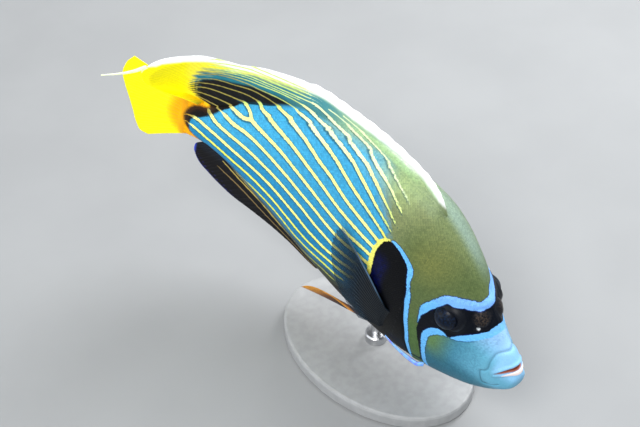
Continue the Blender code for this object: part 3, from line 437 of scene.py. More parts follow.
    # fine pale lines of the soft dorsal's teal zone
    ref = spline([(.70, .2710), (.73, .2765), (.76, .2690), (.82, .2555), (.88, .2450), (.94, .2370), (1.0, .225), (1.05, .200)], 6)
    for k in (-1, 1, 2, 3):
        zc = np.interp(s, ref[:, 0], ref[:, 1]) + k * (.0075 if k < 0 else .0118)
        w = (.0018 if k < 0 else .0026) * ramp(s, .70 + (.06 if k < 0 else 0), .78) * (1 - ramp(s, .98, 1.03)) - .0004
        np.minimum(d_yel, np.where(z > top + .010, np.abs(z - zc) - w, 9.0), out=d_yel)
    d_yel = np.where((s > black_end + .012) & (z > .082) & (z < .205), 9.0, d_yel)
    d_an = np.full(len(s), 9.0)
    for st in ANAL_LINES:
        np.minimum(d_an, stroke([(a_, b_, c_ + .0004) for a_, b_, c_ in st], q), out=d_an)
    if zone == "anal":
        d_yel, d_dark = d_an, np.full(len(s), 9.0)
    elif zone == "caudal":
        d_yel = np.where(tail_side > .002, 9.0, d_yel)
        d_dark = np.full(len(s), 9.0)
    elif zone != "dorsal":
        d_yel = np.where((z < low + .004) & (s > .6), np.minimum(d_yel, d_an), d_yel)
        d_yel = np.where(tail_side > .012, np.maximum(d_yel, (tail_side - .012) * .5), d_yel)
    if zone in ("dorsal", "anal", "caudal"):
        d_blue[:] = 9.0
        d_black[:] = 9.0

    # stripe colour
    scol = mixc(np.tile(C_CREAM_LOW, (len(s), 1)), C_CREAM, ramp(t_v, .15, .45))
    scol = mixc(scol, lin(196, 220, 128), ramp(.52 - s, 0, .10) * ramp(z, .15, .21) * .75)
    scol = mixc(scol, C_PALE, ramp(z - top, -.050, .0) * (1 - ramp(s, .72, .80)) * .7)
    scol = mixc(scol, lin(206, 232, 130), ramp(z - top, .012, .03) * ramp(s, .74, .80))
    brown = ramp(dark_side, -.001, .004) * (1 - ramp(z, .205, .235))
    scol = mixc(scol, C_BROWNLINE, brown * .92)
    scol = mixc(scol, lin(230, 170, 20), ramp(s, 1.02, 1.05) * ramp(.16 - z, 0, .04))
    scol = mixc(scol, lin(130, 136, 78), ramp(lowline - z, -.004, .03) * .75)
    if zone == "anal":
        scol = mixc(np.tile(lin(196, 176, 84), (len(s), 1)), lin(132, 112, 70), ramp(low - z, .02, .045))
    elif zone != "dorsal":
        scol = mixc(scol, lin(170, 160, 84), ramp(low + .006 - z, 0, .008) * ramp(s, .6, .66))
    scol = mixc(scol, lin(236, 232, 110), ramp(.4305 - s, -.008, .004) * (z < .182) * (1 - brown))
    # navy sheen at the rear of the patch
    navy = ramp(.032 - np.abs(s - (.395 - .10 * np.clip(.05 - z, 0, .2))), 0, .026) * ramp(z, -.03, .03) * ramp(.14 - z, 0, .05)
    navy = navy * (.35 + .65 * ramp(np.sin(s * 610 + 2.2 * np.sin(z * 430)) * np.sin(z * 540 + 1.7 * np.sin(s * 380)), -.1, .7))
    bcol = mixc(np.tile(C_BLACK, (len(s), 1)), C_NAVY, navy * .75)
    bcol = mixc(bcol, C_BREAST, ramp(-z, .02, .10))
    bcol = mixc(bcol, lin(7, 12, 22), ramp(.285 - s, 0, .02) * .9)
    band = mixc(np.tile(C_BAND, (len(s), 1)), lin(124, 180, 252), ramp(z, .09, .17) * (1 - ramp(s, .27, .30)))
    k = 1000.0
    cl = lambda d, a=40: np.clip(d * k, -a, a)
    return {"ground": ground, "scol": scol, "bcol": bcol, "bandc": band,
            "rimw": .75 * ramp(s, .112, .132), "face": ramp(s, .085, .20), "d_yel": cl(d_yel), "d_dark": cl(d_dark), "d_black": cl(d_black), "d_blue": cl(d_blue)}


# ================================================================== mesh helpers
def new_mesh(name, verts, faces, mat=None, smooth=True, sharp=None):
    """faces: (n, 3) or (n, 4) index array, or a list of such arrays."""
    arrays = faces if isinstance(faces, list) else [faces]
    me = bpy.data.meshes.new(name)
    v = np.ascontiguousarray(verts, np.float32)
    me.vertices.add(len(v))
    me.vertices.foreach_set("co", v.ravel())
    loops = np.concatenate([np.asarray(a, np.int32).ravel() for a in arrays])
    sizes = np.concatenate([np.full(len(a), np.asarray(a).shape[1], np.int32) for a in arrays])
    me.loops.add(len(loops))
    me.loops.foreach_set("vertex_index", loops)
    me.polygons.add(len(sizes))
    me.polygons.foreach_set("loop_start", np.concatenate([[0], np.cumsum(sizes)[:-1]]).astype(np.int32))
    me.update(calc_edges=True)
    me.validate()
    if smooth:
        me.shade_smooth()
    if sharp is not None:
        me.set_sharp_from_angle(angle=math.radians(sharp))
    ob = bpy.data.objects.new(name, me)
    bpy.context.collection.objects.link(ob)
    if mat is not None:
        me.materials.append(mat)
    return ob


def put_attr(ob, name, values):
    me = ob.data
    values = np.asarray(values, np.float32)
    if values.ndim == 2:
        at = me.attributes.new(name, "FLOAT_COLOR", "POINT")
        at.data.foreach_set("color", np.hstack([values, np.ones((len(values), 1), np.float32)]).ravel())
    else:
        at = me.attributes.new(name, "FLOAT", "POINT")
        at.data.foreach_set("value", values)


def put_marks(ob, m, extra=None):
    for k, v in m.items():
        put_attr(ob, k, v)
    for k, v in (extra or {}).items():
        put_attr(ob, k, v)


def put_uv(ob, uv_per_vertex):
    me = ob.data
    idx = np.empty(len(me.loops), np.int32)
    me.loops.foreach_get("vertex_index", idx)
    lay = me.uv_layers.new(name="OFBake")
    lay.data.foreach_set("uv", np.ascontiguousarray(uv_per_vertex[idx], np.float32).ravel())


# ================================================================== materials
class Tree:
    def __init__(self, name, rough=0.4, spec=0.5, coat=0.0, coat_rough=0.2, metallic=0.0):
        self.m = bpy.data.materials.new(name)
        self.m.use_nodes = True
        self.t = self.m.node_tree
        self.b = self.t.nodes["Principled BSDF"]
        self.b.inputs["Roughness"].default_value = rough
        self.b.inputs["Specular IOR Level"].default_value = spec
        self.b.inputs["Coat Weight"].default_value = coat
        self.b.inputs["Coat Roughness"].default_value = coat_rough
        self.b.inputs["Metallic"].default_value = metallic

    def node(self, kind, **kw):
        n = self.t.nodes.new(kind)
        for k, v in kw.items():
            setattr(n, k, v)
        return n

    def link(self, a, b):
        self.t.links.new(a, b)

    def attr(self, name, colour=False):
        n = self.node("ShaderNodeAttribute", attribute_name=name)
        return n.outputs["Color" if colour else "Fac"]

    def coord(self):
        return self.node("ShaderNodeTexCoord").outputs["Object"]

    def noise(self, scale, detail=2.0, rough=0.5, coord=None):
        n = self.node("ShaderNodeTexNoise")
        n.inputs["Scale"].default_value = scale
        n.inputs["Detail"].default_value = detail
        n.inputs["Roughness"].default_value = rough
        self.link(coord or self.coord(), n.inputs["Vector"])
        return n.outputs["Fac"]

    def voronoi(self, scale, feature="F1", coord=None):
        n = self.node("ShaderNodeTexVoronoi", feature=feature)
        n.inputs["Scale"].default_value = scale
        self.link(coord or self.coord(), n.inputs["Vector"])
        return n.outputs["Distance"]

    def math(self, op, a, b=0.0, clamp=False):
        n = self.node("ShaderNodeMath", operation=op, use_clamp=clamp)
        for i, x in enumerate((a, b)):
            if isinstance(x, (int, float)):
                n.inputs[i].default_value = x
            else:
                self.link(x, n.inputs[i])
        return n.outputs[0]

    def step(self, x, a, b, lo=0.0, hi=1.0):
        """Smooth map of x from a..b to lo..hi."""
        n = self.node("ShaderNodeMapRange", interpolation_type="SMOOTHSTEP")
        self.link(x, n.inputs["Value"])
        n.inputs["From Min"].default_value, n.inputs["From Max"].default_value = a, b
        n.inputs["To Min"].default_value, n.inputs["To Max"].default_value = lo, hi
        return n.outputs["Result"]

    def mix(self, fac, a, b, mode="MIX"):
        n = self.node("ShaderNodeMix", data_type="RGBA", blend_type=mode)
        n.clamp_factor = True
        for sock, x in ((n.inputs[0], fac), (n.inputs[6], a), (n.inputs[7], b)):
            if isinstance(x, (int, float)):
                sock.default_value = x
            elif isinstance(x, (tuple, list, np.ndarray)):
                sock.default_value = (*[float(c) for c in x[:3]], 1.0)
            else:
                self.link(x, sock)
        return n.outputs[2]

    def bump(self, height, strength, dist):
        n = self.node("ShaderNodeBump")
        n.inputs["Strength"].default_value = strength
        n.inputs["Distance"].default_value = dist
        self.link(height, n.inputs["Height"])
        self.link(n.outputs["Normal"], self.b.inputs["Normal"])

    def out(self, colour):
        self.link(colour, self.b.inputs["Base Color"])
        return self.m


def marked(tr, soft=0.9, wob=1.5):
    """The fish's pattern from the mesh's own fields."""
    n = tr.noise(620, 2.0)
    wobble = tr.math("MULTIPLY", tr.math("SUBTRACT", n, 0.5), wob * 2)
    field = lambda name: tr.math("ADD", tr.attr(name), wobble)
    col = tr.attr("ground", True)
    dark = tr.math("MULTIPLY", tr.step(field("d_dark"), soft * 2.6, -soft * 1.2), 0.74)
    col = tr.mix(dark, col, C_TEALDARK)
    black = tr.step(field("d_black"), soft, -soft)
    col = tr.mix(black, col, tr.attr("bcol", True))
    yel = tr.step(field("d_yel"), soft * 1.2, -soft * 1.2)
    col = tr.mix(yel, col, tr.attr("scol", True))
    # thin dark outline round the blue bands, then the bands
    rim = tr.math("MULTIPLY", tr.step(field("d_blue"), 3.4, 0.6), tr.attr("rimw"))
    col = tr.mix(rim, col, tuple(lin(12, 30, 92)))
    band = tr.step(field("d_blue"), soft, -soft)
    col = tr.mix(band, col, tr.attr("bandc", True))
    return col


def skin_material():
    tr = Tree("fish_skin", rough=0.42, spec=0.15, coat=0.02, coat_rough=0.25)
    col = marked(tr)
    # fine pores and speckle of the unscaled face, and painted shade on the skin between scales
    n = tr.noise(1500, 3.0, 0.6)
    col = tr.mix(tr.step(n, 0.35, 0.75, 0.0, 0.22), col, (0.20, 0.30, 0.36), "MULTIPLY")
    between_scale_shade = tr.attr("scaled")
    col = tr.mix(tr.math("MULTIPLY", tr.math("MULTIPLY", between_scale_shade, 0.30), tr.attr("face")), col, (0.06, 0.12, 0.18), "MULTIPLY")
    lit = tr.step(tr.attr("d_black"), -1.5, 1.5, 0.0, 1.0)
    col = tr.mix(tr.math("MULTIPLY", tr.step(tr.noise(60, 2.0), 0.35, 0.7), lit), col, (1.10, 1.08, 1.05), "MULTIPLY")
    knob = tr.math("MULTIPLY", tr.attr("knob"), tr.step(tr.noise(1100, 3.0), .42, .62))
    col = tr.mix(knob, col, tuple(lin(78, 66, 56)))
    # painted glint: a small pale spot on the front nostril
    col = tr.mix(tr.attr("pore_glint"), col, tuple(lin(226, 234, 240)))
    mouth = tr.step(tr.attr("d_mouth"), 1.2, -1.2)
    col = tr.mix(mouth, col, tuple(lin(164, 88, 64)))
    # painted shade deep inside the mouth slit
    mouth_shade = tr.step(tr.attr("d_mouth"), -1.4, -3.8, 0, .8)
    col = tr.mix(mouth_shade, col, tuple(lin(84, 32, 26)))
    gum = tr.step(tr.attr("d_gum"), 1.2, -1.0)
    col = tr.mix(gum, col, tuple(lin(238, 218, 214)))
    # painted shade along the lip crease and the small fold on the lower jaw
    fold_shade = tr.math("MULTIPLY", tr.step(tr.attr("d_fold"), 2.2, -0.4), 0.36)
    col = tr.mix(fold_shade, col, tuple(lin(16, 44, 62)))
    h = tr.math("ADD", tr.math("MULTIPLY", tr.voronoi(900), -0.6), tr.noise(1800, 2.0))
    tr.bump(h, 0.35, 0.00012)
    return tr.out(col)


def scale_material():
    tr = Tree("fish_scales", rough=0.44, spec=0.09, coat=0.01, coat_rough=0.25)
    col = marked(tr)
    lit = tr.step(tr.attr("d_black"), -1.5, 1.5, 0.15, 1.0)
    r = tr.math("ADD", tr.math("MULTIPLY", tr.math("SUBTRACT", tr.attr("rnd"), 0.5), lit), 0.5)
    along = tr.attr("along")
    # each scale: brighter middle, darker free edge, and its own small shade
    face = tr.attr("face")
    edge = tr.math("MULTIPLY", tr.step(along, 0.62, 1.0, 0.0, 0.24), face)
    col = tr.mix(edge, col, (0.05, 0.14, 0.24), "MULTIPLY")
    col = tr.mix(tr.step(r, 0.50, 1.0, 0.0, 1.0), col, (1.13, 1.11, 1.07), "MULTIPLY")
    col = tr.mix(tr.step(r, 0.60, 0.0, 0.0, 0.18), col, (0.10, 0.18, 0.24), "MULTIPLY")
    tr.bump(tr.noise(4200, 2.0), 0.25, 0.00005)
    return tr.out(col)


def fin_material(name, rough=0.42, ray_dark=0.35, alpha=None, coat=0.1):
    tr = Tree(name, rough=rough, spec=0.12, coat=coat, coat_rough=0.3)
    col = marked(tr, soft=0.8, wob=0.9)
    ray = tr.attr("ray")
    col = tr.mix(tr.math("MULTIPLY", tr.math("SUBTRACT", 1.0, ray), ray_dark), col, (0.10, 0.14, 0.18), "MULTIPLY")
    n = tr.noise(900, 3.0, 0.6)
    col = tr.mix(tr.step(n, 0.35, 0.75, 0.0, 0.16), col, (0.30, 0.34, 0.36), "MULTIPLY")
    tr.bump(tr.math("ADD", ray, tr.math("MULTIPLY", n, 0.4)), 0.3, 0.0001)
    return tr.out(col)


# ================================================================== the skin
N_SIDE = 140
k = np.array([.04, .10, .18, .26, .34, .42, .50, .58, .66, .74, .81, .87, .92, .96, .985, 1.0])
nose = .014 * (1 - (1 - k ** 3) ** (1 / 3))
S_RINGS = np.concatenate([nose, np.arange(.0158, .10, .0018), np.arange(.10, .36, .0030), np.arange(.36, 1.074, .0042)])
K_RINGS = np.concatenate([k, np.ones(len(S_RINGS) - len(k))])


def fleshy(s):
    up = .028 * ramp(s, .335, .46) * (1 - ramp(s, .90, .985))
    dn = .022 * ramp(s, .570, .640) * (1 - ramp(s, .86, .950))
    return up, dn


def tail_spread(s):
    """The skin runs out over the root of the tail fin."""
    return 0.50 * np.clip(s - 1.034, 0, None)


def ring_profile(s, scale):
    top, low = float(back_of(s)), float(belly_of(s))
    hu, hd = fleshy(s)
    zt, zb = top + float(hu) + float(tail_spread(s)), low - float(hd) - float(tail_spread(s))
    t = np.linspace(0, 1, 900)
    z = (zt + zb) / 2 - (zt - zb) / 2 * np.cos(math.pi * t)
    y = total(np.full_like(z, s), z)
    if s > 1.034:
        w = .0085 + (.0022 - .0085) * ramp(s, 1.03, 1.072)
        y = w * np.clip(1 - np.abs((z - (zt + zb) / 2) / ((zt - zb) / 2)) ** 6, 0, 1) ** (1 / 3)
    r = .0030
    cap_t = np.clip((z - (zt - r)) / r, 0, 1)
    cap_b = np.clip(((zb + r) - z) / r, 0, 1)
    y = y * np.sqrt(np.clip(1 - cap_t ** 2, 0, 1)) * np.sqrt(np.clip(1 - cap_b ** 2, 0, 1))
    arc = np.concatenate([[0], np.cumsum(np.hypot(np.diff(y), np.diff(z)))])
    a = np.linspace(0, arc[-1], N_SIDE + 1)
    yy, zz = np.interp(a, arc, y), np.interp(a, arc, z)
    yy[0] = yy[-1] = 0.0
    mid = (zt + zb) / 2
    return yy * scale, mid + (zz - mid) * scale, arc[-1]


prof = [ring_profile(float(s), float(sc)) for s, sc in zip(S_RINGS, K_RINGS)]
RY = np.array([p[0] for p in prof])
RZ = np.array([p[1] for p in prof])
GIRTH = np.array([p[2] for p in prof])          # half-girth of each ring, in lengths
NR = len(S_RINGS)
# right side bottom to top, then left side top to bottom
SG = np.repeat(S_RINGS[:, None], 2 * N_SIDE, 1)
YG = np.hstack([RY, -RY[:, -2:0:-1]])
ZG = np.hstack([RZ, RZ[:, -2:0:-1]])
P0 = pose(np.stack([SG, YG, ZG], -1))


def grid_normals(p):
    du = np.gradient(p, axis=0)
    dv = (np.roll(p, -1, 1) - np.roll(p, 1, 1)) / 2
    n = np.cross(dv, du)
    n /= np.maximum(np.linalg.norm(n, axis=2), 1e-12)[..., None]
    return n


NRM = grid_normals(P0)
centre_line = P0.mean(1, keepdims=True)
if ((NRM * (P0 - centre_line)).sum(2)).mean() < 0:
    NRM = -NRM


def bump_at(s, z, c, r, p=2.0):
    return np.exp(-((np.hypot(s - c[0], z - c[1]) / r) ** p))


UPPER_CREASE = [(.030, .0800, .0003), (.0390, .0860, .0006), (.0490, .0895, .0007), (.0590, .0890, .0007), (.0670, .0830, .0008), (.0712, .0750, .0008), (.0707, .0645, .0008), (.0680, .0480, .0008), (.0656, .0312, .0008), (.0700, .0180, .0009), (.0780, .0086, .0011), (.0755, -.003, .0010),
                (.0702, -.0157, .0009), (.0655, -.0260, .0008), (.0600, -.0310, .0007), (.0521, -.0260, .0004)]
SMALL_FOLD = [(.029, .003, .0002), (.033, -.005, .0005), (.038, -.012, .0005), (.047, -.018, .0005), (.058, -.024, .0003)]
MOUTH_SLIT = [(-.010, .0660, .0046), (.004, .0665, .0048), (.013, .0650, .0048), (.020, .0610, .0046), (.028, .0545, .0040), (.036, .0455, .0028), (.0445, .0330, .0012), (.0480, .0275, .0003)]
GUM = [(-.010, .0570, .0046), (.003, .0575, .0046), (.010, .0555, .0044), (.018, .0510, .0036), (.026, .0445, .0022), (.033, .0380, .0006)]
OPERCLE_LINE = [(.305, .150), (.309, .134), (.3055, .105), (.3015, .084), (.2985, .061), (.2905, .030), (.2845, .003), (.277, -.022), (.2685, -.050), (.263, -.078), (.2555, -.103), (.2480, -.130), (.240, -.160), (.235, -.19)]
PREOPERCLE_LINE = [(.2225, .060, .0004), (.2330, .020, .0005), (.2345, -.010, .0006), (.2300, -.050, .0006), (.2220, -.090, .0006), (.2120, -.130, .0006), (.198, -.160, .0004)]

sf, zf = SG.ravel(), ZG.ravel()
qf = np.stack([sf, zf], -1)
d_crease = stroke(UPPER_CREASE, qf)
d_small = stroke(SMALL_FOLD, qf)
d_slit = stroke(MOUTH_SLIT, qf)
d_gum = stroke(GUM, qf)
d_pre = stroke(PREOPERCLE_LINE, qf)
op = poly_gap(OPERCLE_LINE, sf, zf)
op *= np.sign(poly_gap(OPERCLE_LINE, np.array([.40]), np.array([0.0]))[0])     # positive behind the gill cover
d_fold = np.minimum(d_crease, d_small)

mm = 0.001
r_eye = np.hypot(sf - EYE[0], zf - EYE[1])
disp = np.zeros(len(sf))
# mound and lids round the eye, socket under the eyeball
disp += ORBIT_RISE * np.exp(-(np.hypot(sf - ORBIT_AT[0], zf - ORBIT_AT[1]) / (ORBIT_WIDE * .62)) ** 4) * .95
disp += 1.1 * mm * np.exp(-(np.clip(stroke([(a_, b_, 0.0) for a_, b_, _ in MASK_UPPER[4:12]], qf), 0, None) / .013) ** 2)
disp -= 0.50 * mm * ramp(.0330 - r_eye, 0, .0095)
disp += 0.30 * mm * np.exp(-((r_eye - .0262) / .0020) ** 2)
disp -= 0.35 * mm * np.exp(-((r_eye - .0345) / .0032) ** 2)
disp -= 2.3 * mm * ramp(.0205 - r_eye, -.0020, .0030)
# nostril knob in front of the eye, with its two openings
KNOB, PORE = (.1395, .1396), (.1308, .1150)


def knob_r(s, z):
    """Distance from the knob's middle in its own radii; its foot is longer up and back."""
    a, b = s - KNOB[0], z - KNOB[1]
    return np.hypot(61.5 * a - 34.4 * b, 15.0 * a + 42.6 * b)


disp += 2.3 * mm * np.exp(-(knob_r(sf, zf) / .92) ** 4.5)
disp += .35 * mm * bump_at(sf, zf, (KNOB[0] + .004, KNOB[1] + .002), .0070, 2.4)
disp -= .60 * mm * np.exp(-((knob_r(sf, zf) - 1.08) / .16) ** 2)
disp += .6 * mm * bump_at(sf, zf, PORE, .0036, 3.0)
disp -= 1.1 * mm * bump_at(sf, zf, (KNOB[0] - .0085, KNOB[1] - .0070), .0026, 3.0)
disp -= 0.9 * mm * bump_at(sf, zf, (KNOB[0] + .0065, KNOB[1] - .0085), .0022, 3.0)
# jaws: a full upper lip, a groove for the mouth, lips each side of it, folds behind
disp += 1.9 * mm * np.exp(-(np.hypot((sf - .041) / .029, (zf - .072) / .029)) ** 3.2)
disp += 0.5 * mm * ramp(.060 - sf, -.004, .012) * ramp(.030 - zf, -.01, .03) * ramp(zf, -.035, -.01)
lip = np.exp(-((d_slit - .0040) / .0042) ** 2)
disp += 0.75 * mm * lip
disp -= 1.7 * mm * ramp(.0006 - d_slit, -.0010, .0026)
disp -= 0.75 * mm * np.exp(-(np.clip(d_crease, 0, None) / .0028) ** 2)
disp -= 0.60 * mm * np.exp(-(np.clip(d_small, 0, None) / .0020) ** 2)
# gill cover: its free edge stands off the shoulder; the preopercle's margin before it
fade = ramp(zf, -.20, -.15) * (1 - ramp(zf, .135, .165))
disp += fade * 0.75 * mm * np.exp(-(np.clip(-op, 0, None) / .020) ** 2) * (op < 0)
disp += fade * (0.75 * mm) * np.exp(-(np.clip(op, 0, None) / .0022) ** 2) * (op >= 0)
disp -= fade * 0.45 * mm * np.exp(-((op - .0055) / .0030) ** 2)
disp -= 0.30 * mm * np.exp(-(np.clip(d_pre, 0, None) / .0024) ** 2)
disp = disp.reshape(SG.shape)
keep_in = COAT * SL
P1 = P0 + NRM * (disp - keep_in)[..., None]
NRM1 = grid_normals(P1)
if (NRM1 * NRM).sum() < 0:
    NRM1 = -NRM1

NC = 2 * N_SIDE
i, j = np.meshgrid(np.arange(NR - 1), np.arange(NC), indexing="ij")
a, b = (i * NC + j).ravel(), (i * NC + (j + 1) % NC).ravel()
quads = np.stack([a, a + NC, b + NC, b], -1)
verts = np.vstack([P1.reshape(-1, 3), P1[0].mean(0), P1[-1].mean(0)])
c0, c1 = NR * NC, NR * NC + 1
jj = np.arange(NC)
fan0 = np.stack([np.full(NC, c0), jj, (jj + 1) % NC], -1)
fan1 = np.stack([np.full(NC, c1), (NR - 1) * NC + (jj + 1) % NC, (NR - 1) * NC + jj], -1)
fv = P1.reshape(-1, 3)[quads[:, 0]]
qn = np.cross(P1.reshape(-1, 3)[quads[:, 1]] - fv, P1.reshape(-1, 3)[quads[:, 3]] - fv)
if (qn * NRM1.reshape(-1, 3)[quads[:, 0]]).sum() < 0:
    quads, fan0, fan1 = quads[:, ::-1], fan0[:, ::-1], fan1[:, ::-1]

SKIN = skin_material()
SCALES = scale_material()


def far_half(y):
    return ramp(-y, -.012, .016)


skin = new_mesh("skin", verts, [quads, np.ascontiguousarray(fan0), np.ascontiguousarray(fan1)], SKIN)
m_skin = marks(sf, zf, "skin", far_half(YG.ravel()))


def with_ends(v):
    v = np.asarray(v)
    g = v.reshape((NR, NC) + v.shape[1:])
    return np.concatenate([v, g[0].mean(0)[None], g[-1].mean(0)[None]])


def scaled_amount(s, z):
    """Where the coat of scales lies: not on lips, snout, eye surrounds or the mask's knob."""
    a = ramp(s, .062, .098)
    a = a * ramp(np.hypot(s - EYE[0], z - EYE[1]), .033, .040)
    a = a * ramp(knob_r(s, z), 1.05, 1.30) * ramp(np.hypot(s - PORE[0], z - PORE[1]), .006, .010)
    return a


put_marks(skin, {key: with_ends(v) for key, v in m_skin.items()},
          {"scaled": with_ends(scaled_amount(sf, zf) * (1 - ramp(sf, 1.045, 1.065))), "knob": with_ends(.62 * np.exp(-(knob_r(sf, zf) / .90) ** 6)), "pore_glint": with_ends(bump_at(sf, zf, PORE, .0027, 5.0)), "d_mouth": with_ends(np.clip(d_slit * 1000, -20, 20)),
           "d_gum": with_ends(np.clip(d_gum * 1000, -20, 20)), "d_fold": with_ends(np.clip(d_fold * 1000, -20, 20))})

# unwrap: right side below, left side above, cut along back and belly
UVK = 0.66


def uv_of(s, arc_from_low, half_girth, left):
    """arc_from_low: distance up the side from the belly's edge."""
    v = (arc_from_low - half_girth / 2) * UVK
    return np.stack([.02 + s * UVK * 1.25, np.where(left, .75 + v, .25 + v)], -1)


arc_frac = np.arange(N_SIDE + 1) / N_SIDE
frac = np.concatenate([arc_frac, arc_frac[-2:0:-1]])
uv_grid = uv_of(SG, frac[None, :] * GIRTH[:, None], GIRTH[:, None], (np.arange(NC) > N_SIDE)[None, :] & np.ones((NR, 1), bool))
me = skin.data
lay = me.uv_layers.new(name="OFBake")
idx = np.empty(len(me.loops), np.int32)
me.loops.foreach_get("vertex_index", idx)
start = np.empty(len(me.polygons), np.int32)
me.polygons.foreach_get("loop_start", start)
total_l = np.empty(len(me.polygons), np.int32)
me.polygons.foreach_get("loop_total", total_l)
poly_of_loop = np.repeat(np.arange(len(start)), total_l)
col_of = np.where(idx < NR * NC, idx % NC, -1)
ring_of = np.clip(idx // NC, 0, NR - 1)
# a face is on the left when any of its columns is past the back's
face_left = np.zeros(len(start), bool)
np.logical_or.at(face_left, poly_of_loop, col_of > N_SIDE)
left = face_left[poly_of_loop]
cc = np.where(col_of < 0, 0, col_of)
fr = np.where(cc <= N_SIDE, cc, NC - cc) / N_SIDE
fr = np.where(col_of < 0, .5, fr)
ring_of = np.where(idx == c0, 0, np.where(idx == c1, NR - 1, ring_of))
uv = uv_of(S_RINGS[ring_of], fr * GIRTH[ring_of], GIRTH[ring_of], left)
lay.data.foreach_set("uv", np.ascontiguousarray(uv, np.float32).ravel())
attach(skin, "root")
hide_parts("head", "trunk", "caudal_peduncle", "upper_jaw", "lower_jaw", "gill_cover_right", "gill_cover_left")


# ================================================================== scales
def bilerp(grid, fi, fj):
    """Value of a ring grid at fractional ring fi and column fj (wrapping)."""
    i0 = np.clip(np.floor(fi).astype(int), 0, NR - 2)
    ti = fi - i0
    j0 = np.floor(fj).astype(int)
    tj = fj - j0
    j0, j1 = j0 % NC, (j0 + 1) % NC
    sh = (slice(None),) + (None,) * (grid.ndim - 2)
    ti, tj = ti[sh], tj[sh]
    return ((grid[i0, j0] * (1 - tj) + grid[i0, j1] * tj) * (1 - ti) + (grid[i0 + 1, j0] * (1 - tj) + grid[i0 + 1, j1] * tj) * ti)


# outline of a scale: along (back), across, height over the skin in mm, and shade coordinate
OUTLINE = np.array([(-.55, 0, -.13), (-.32, -.62, -.08), (.18, -.98, .015), (.52, -.66, .085), (.68, 0, .125), (.52, .66, .085), (.18, .98, .015), (-.32, .62, -.08)])
TOPC, BOTC = (.08, 0, .135), (-.05, 0, -.30)


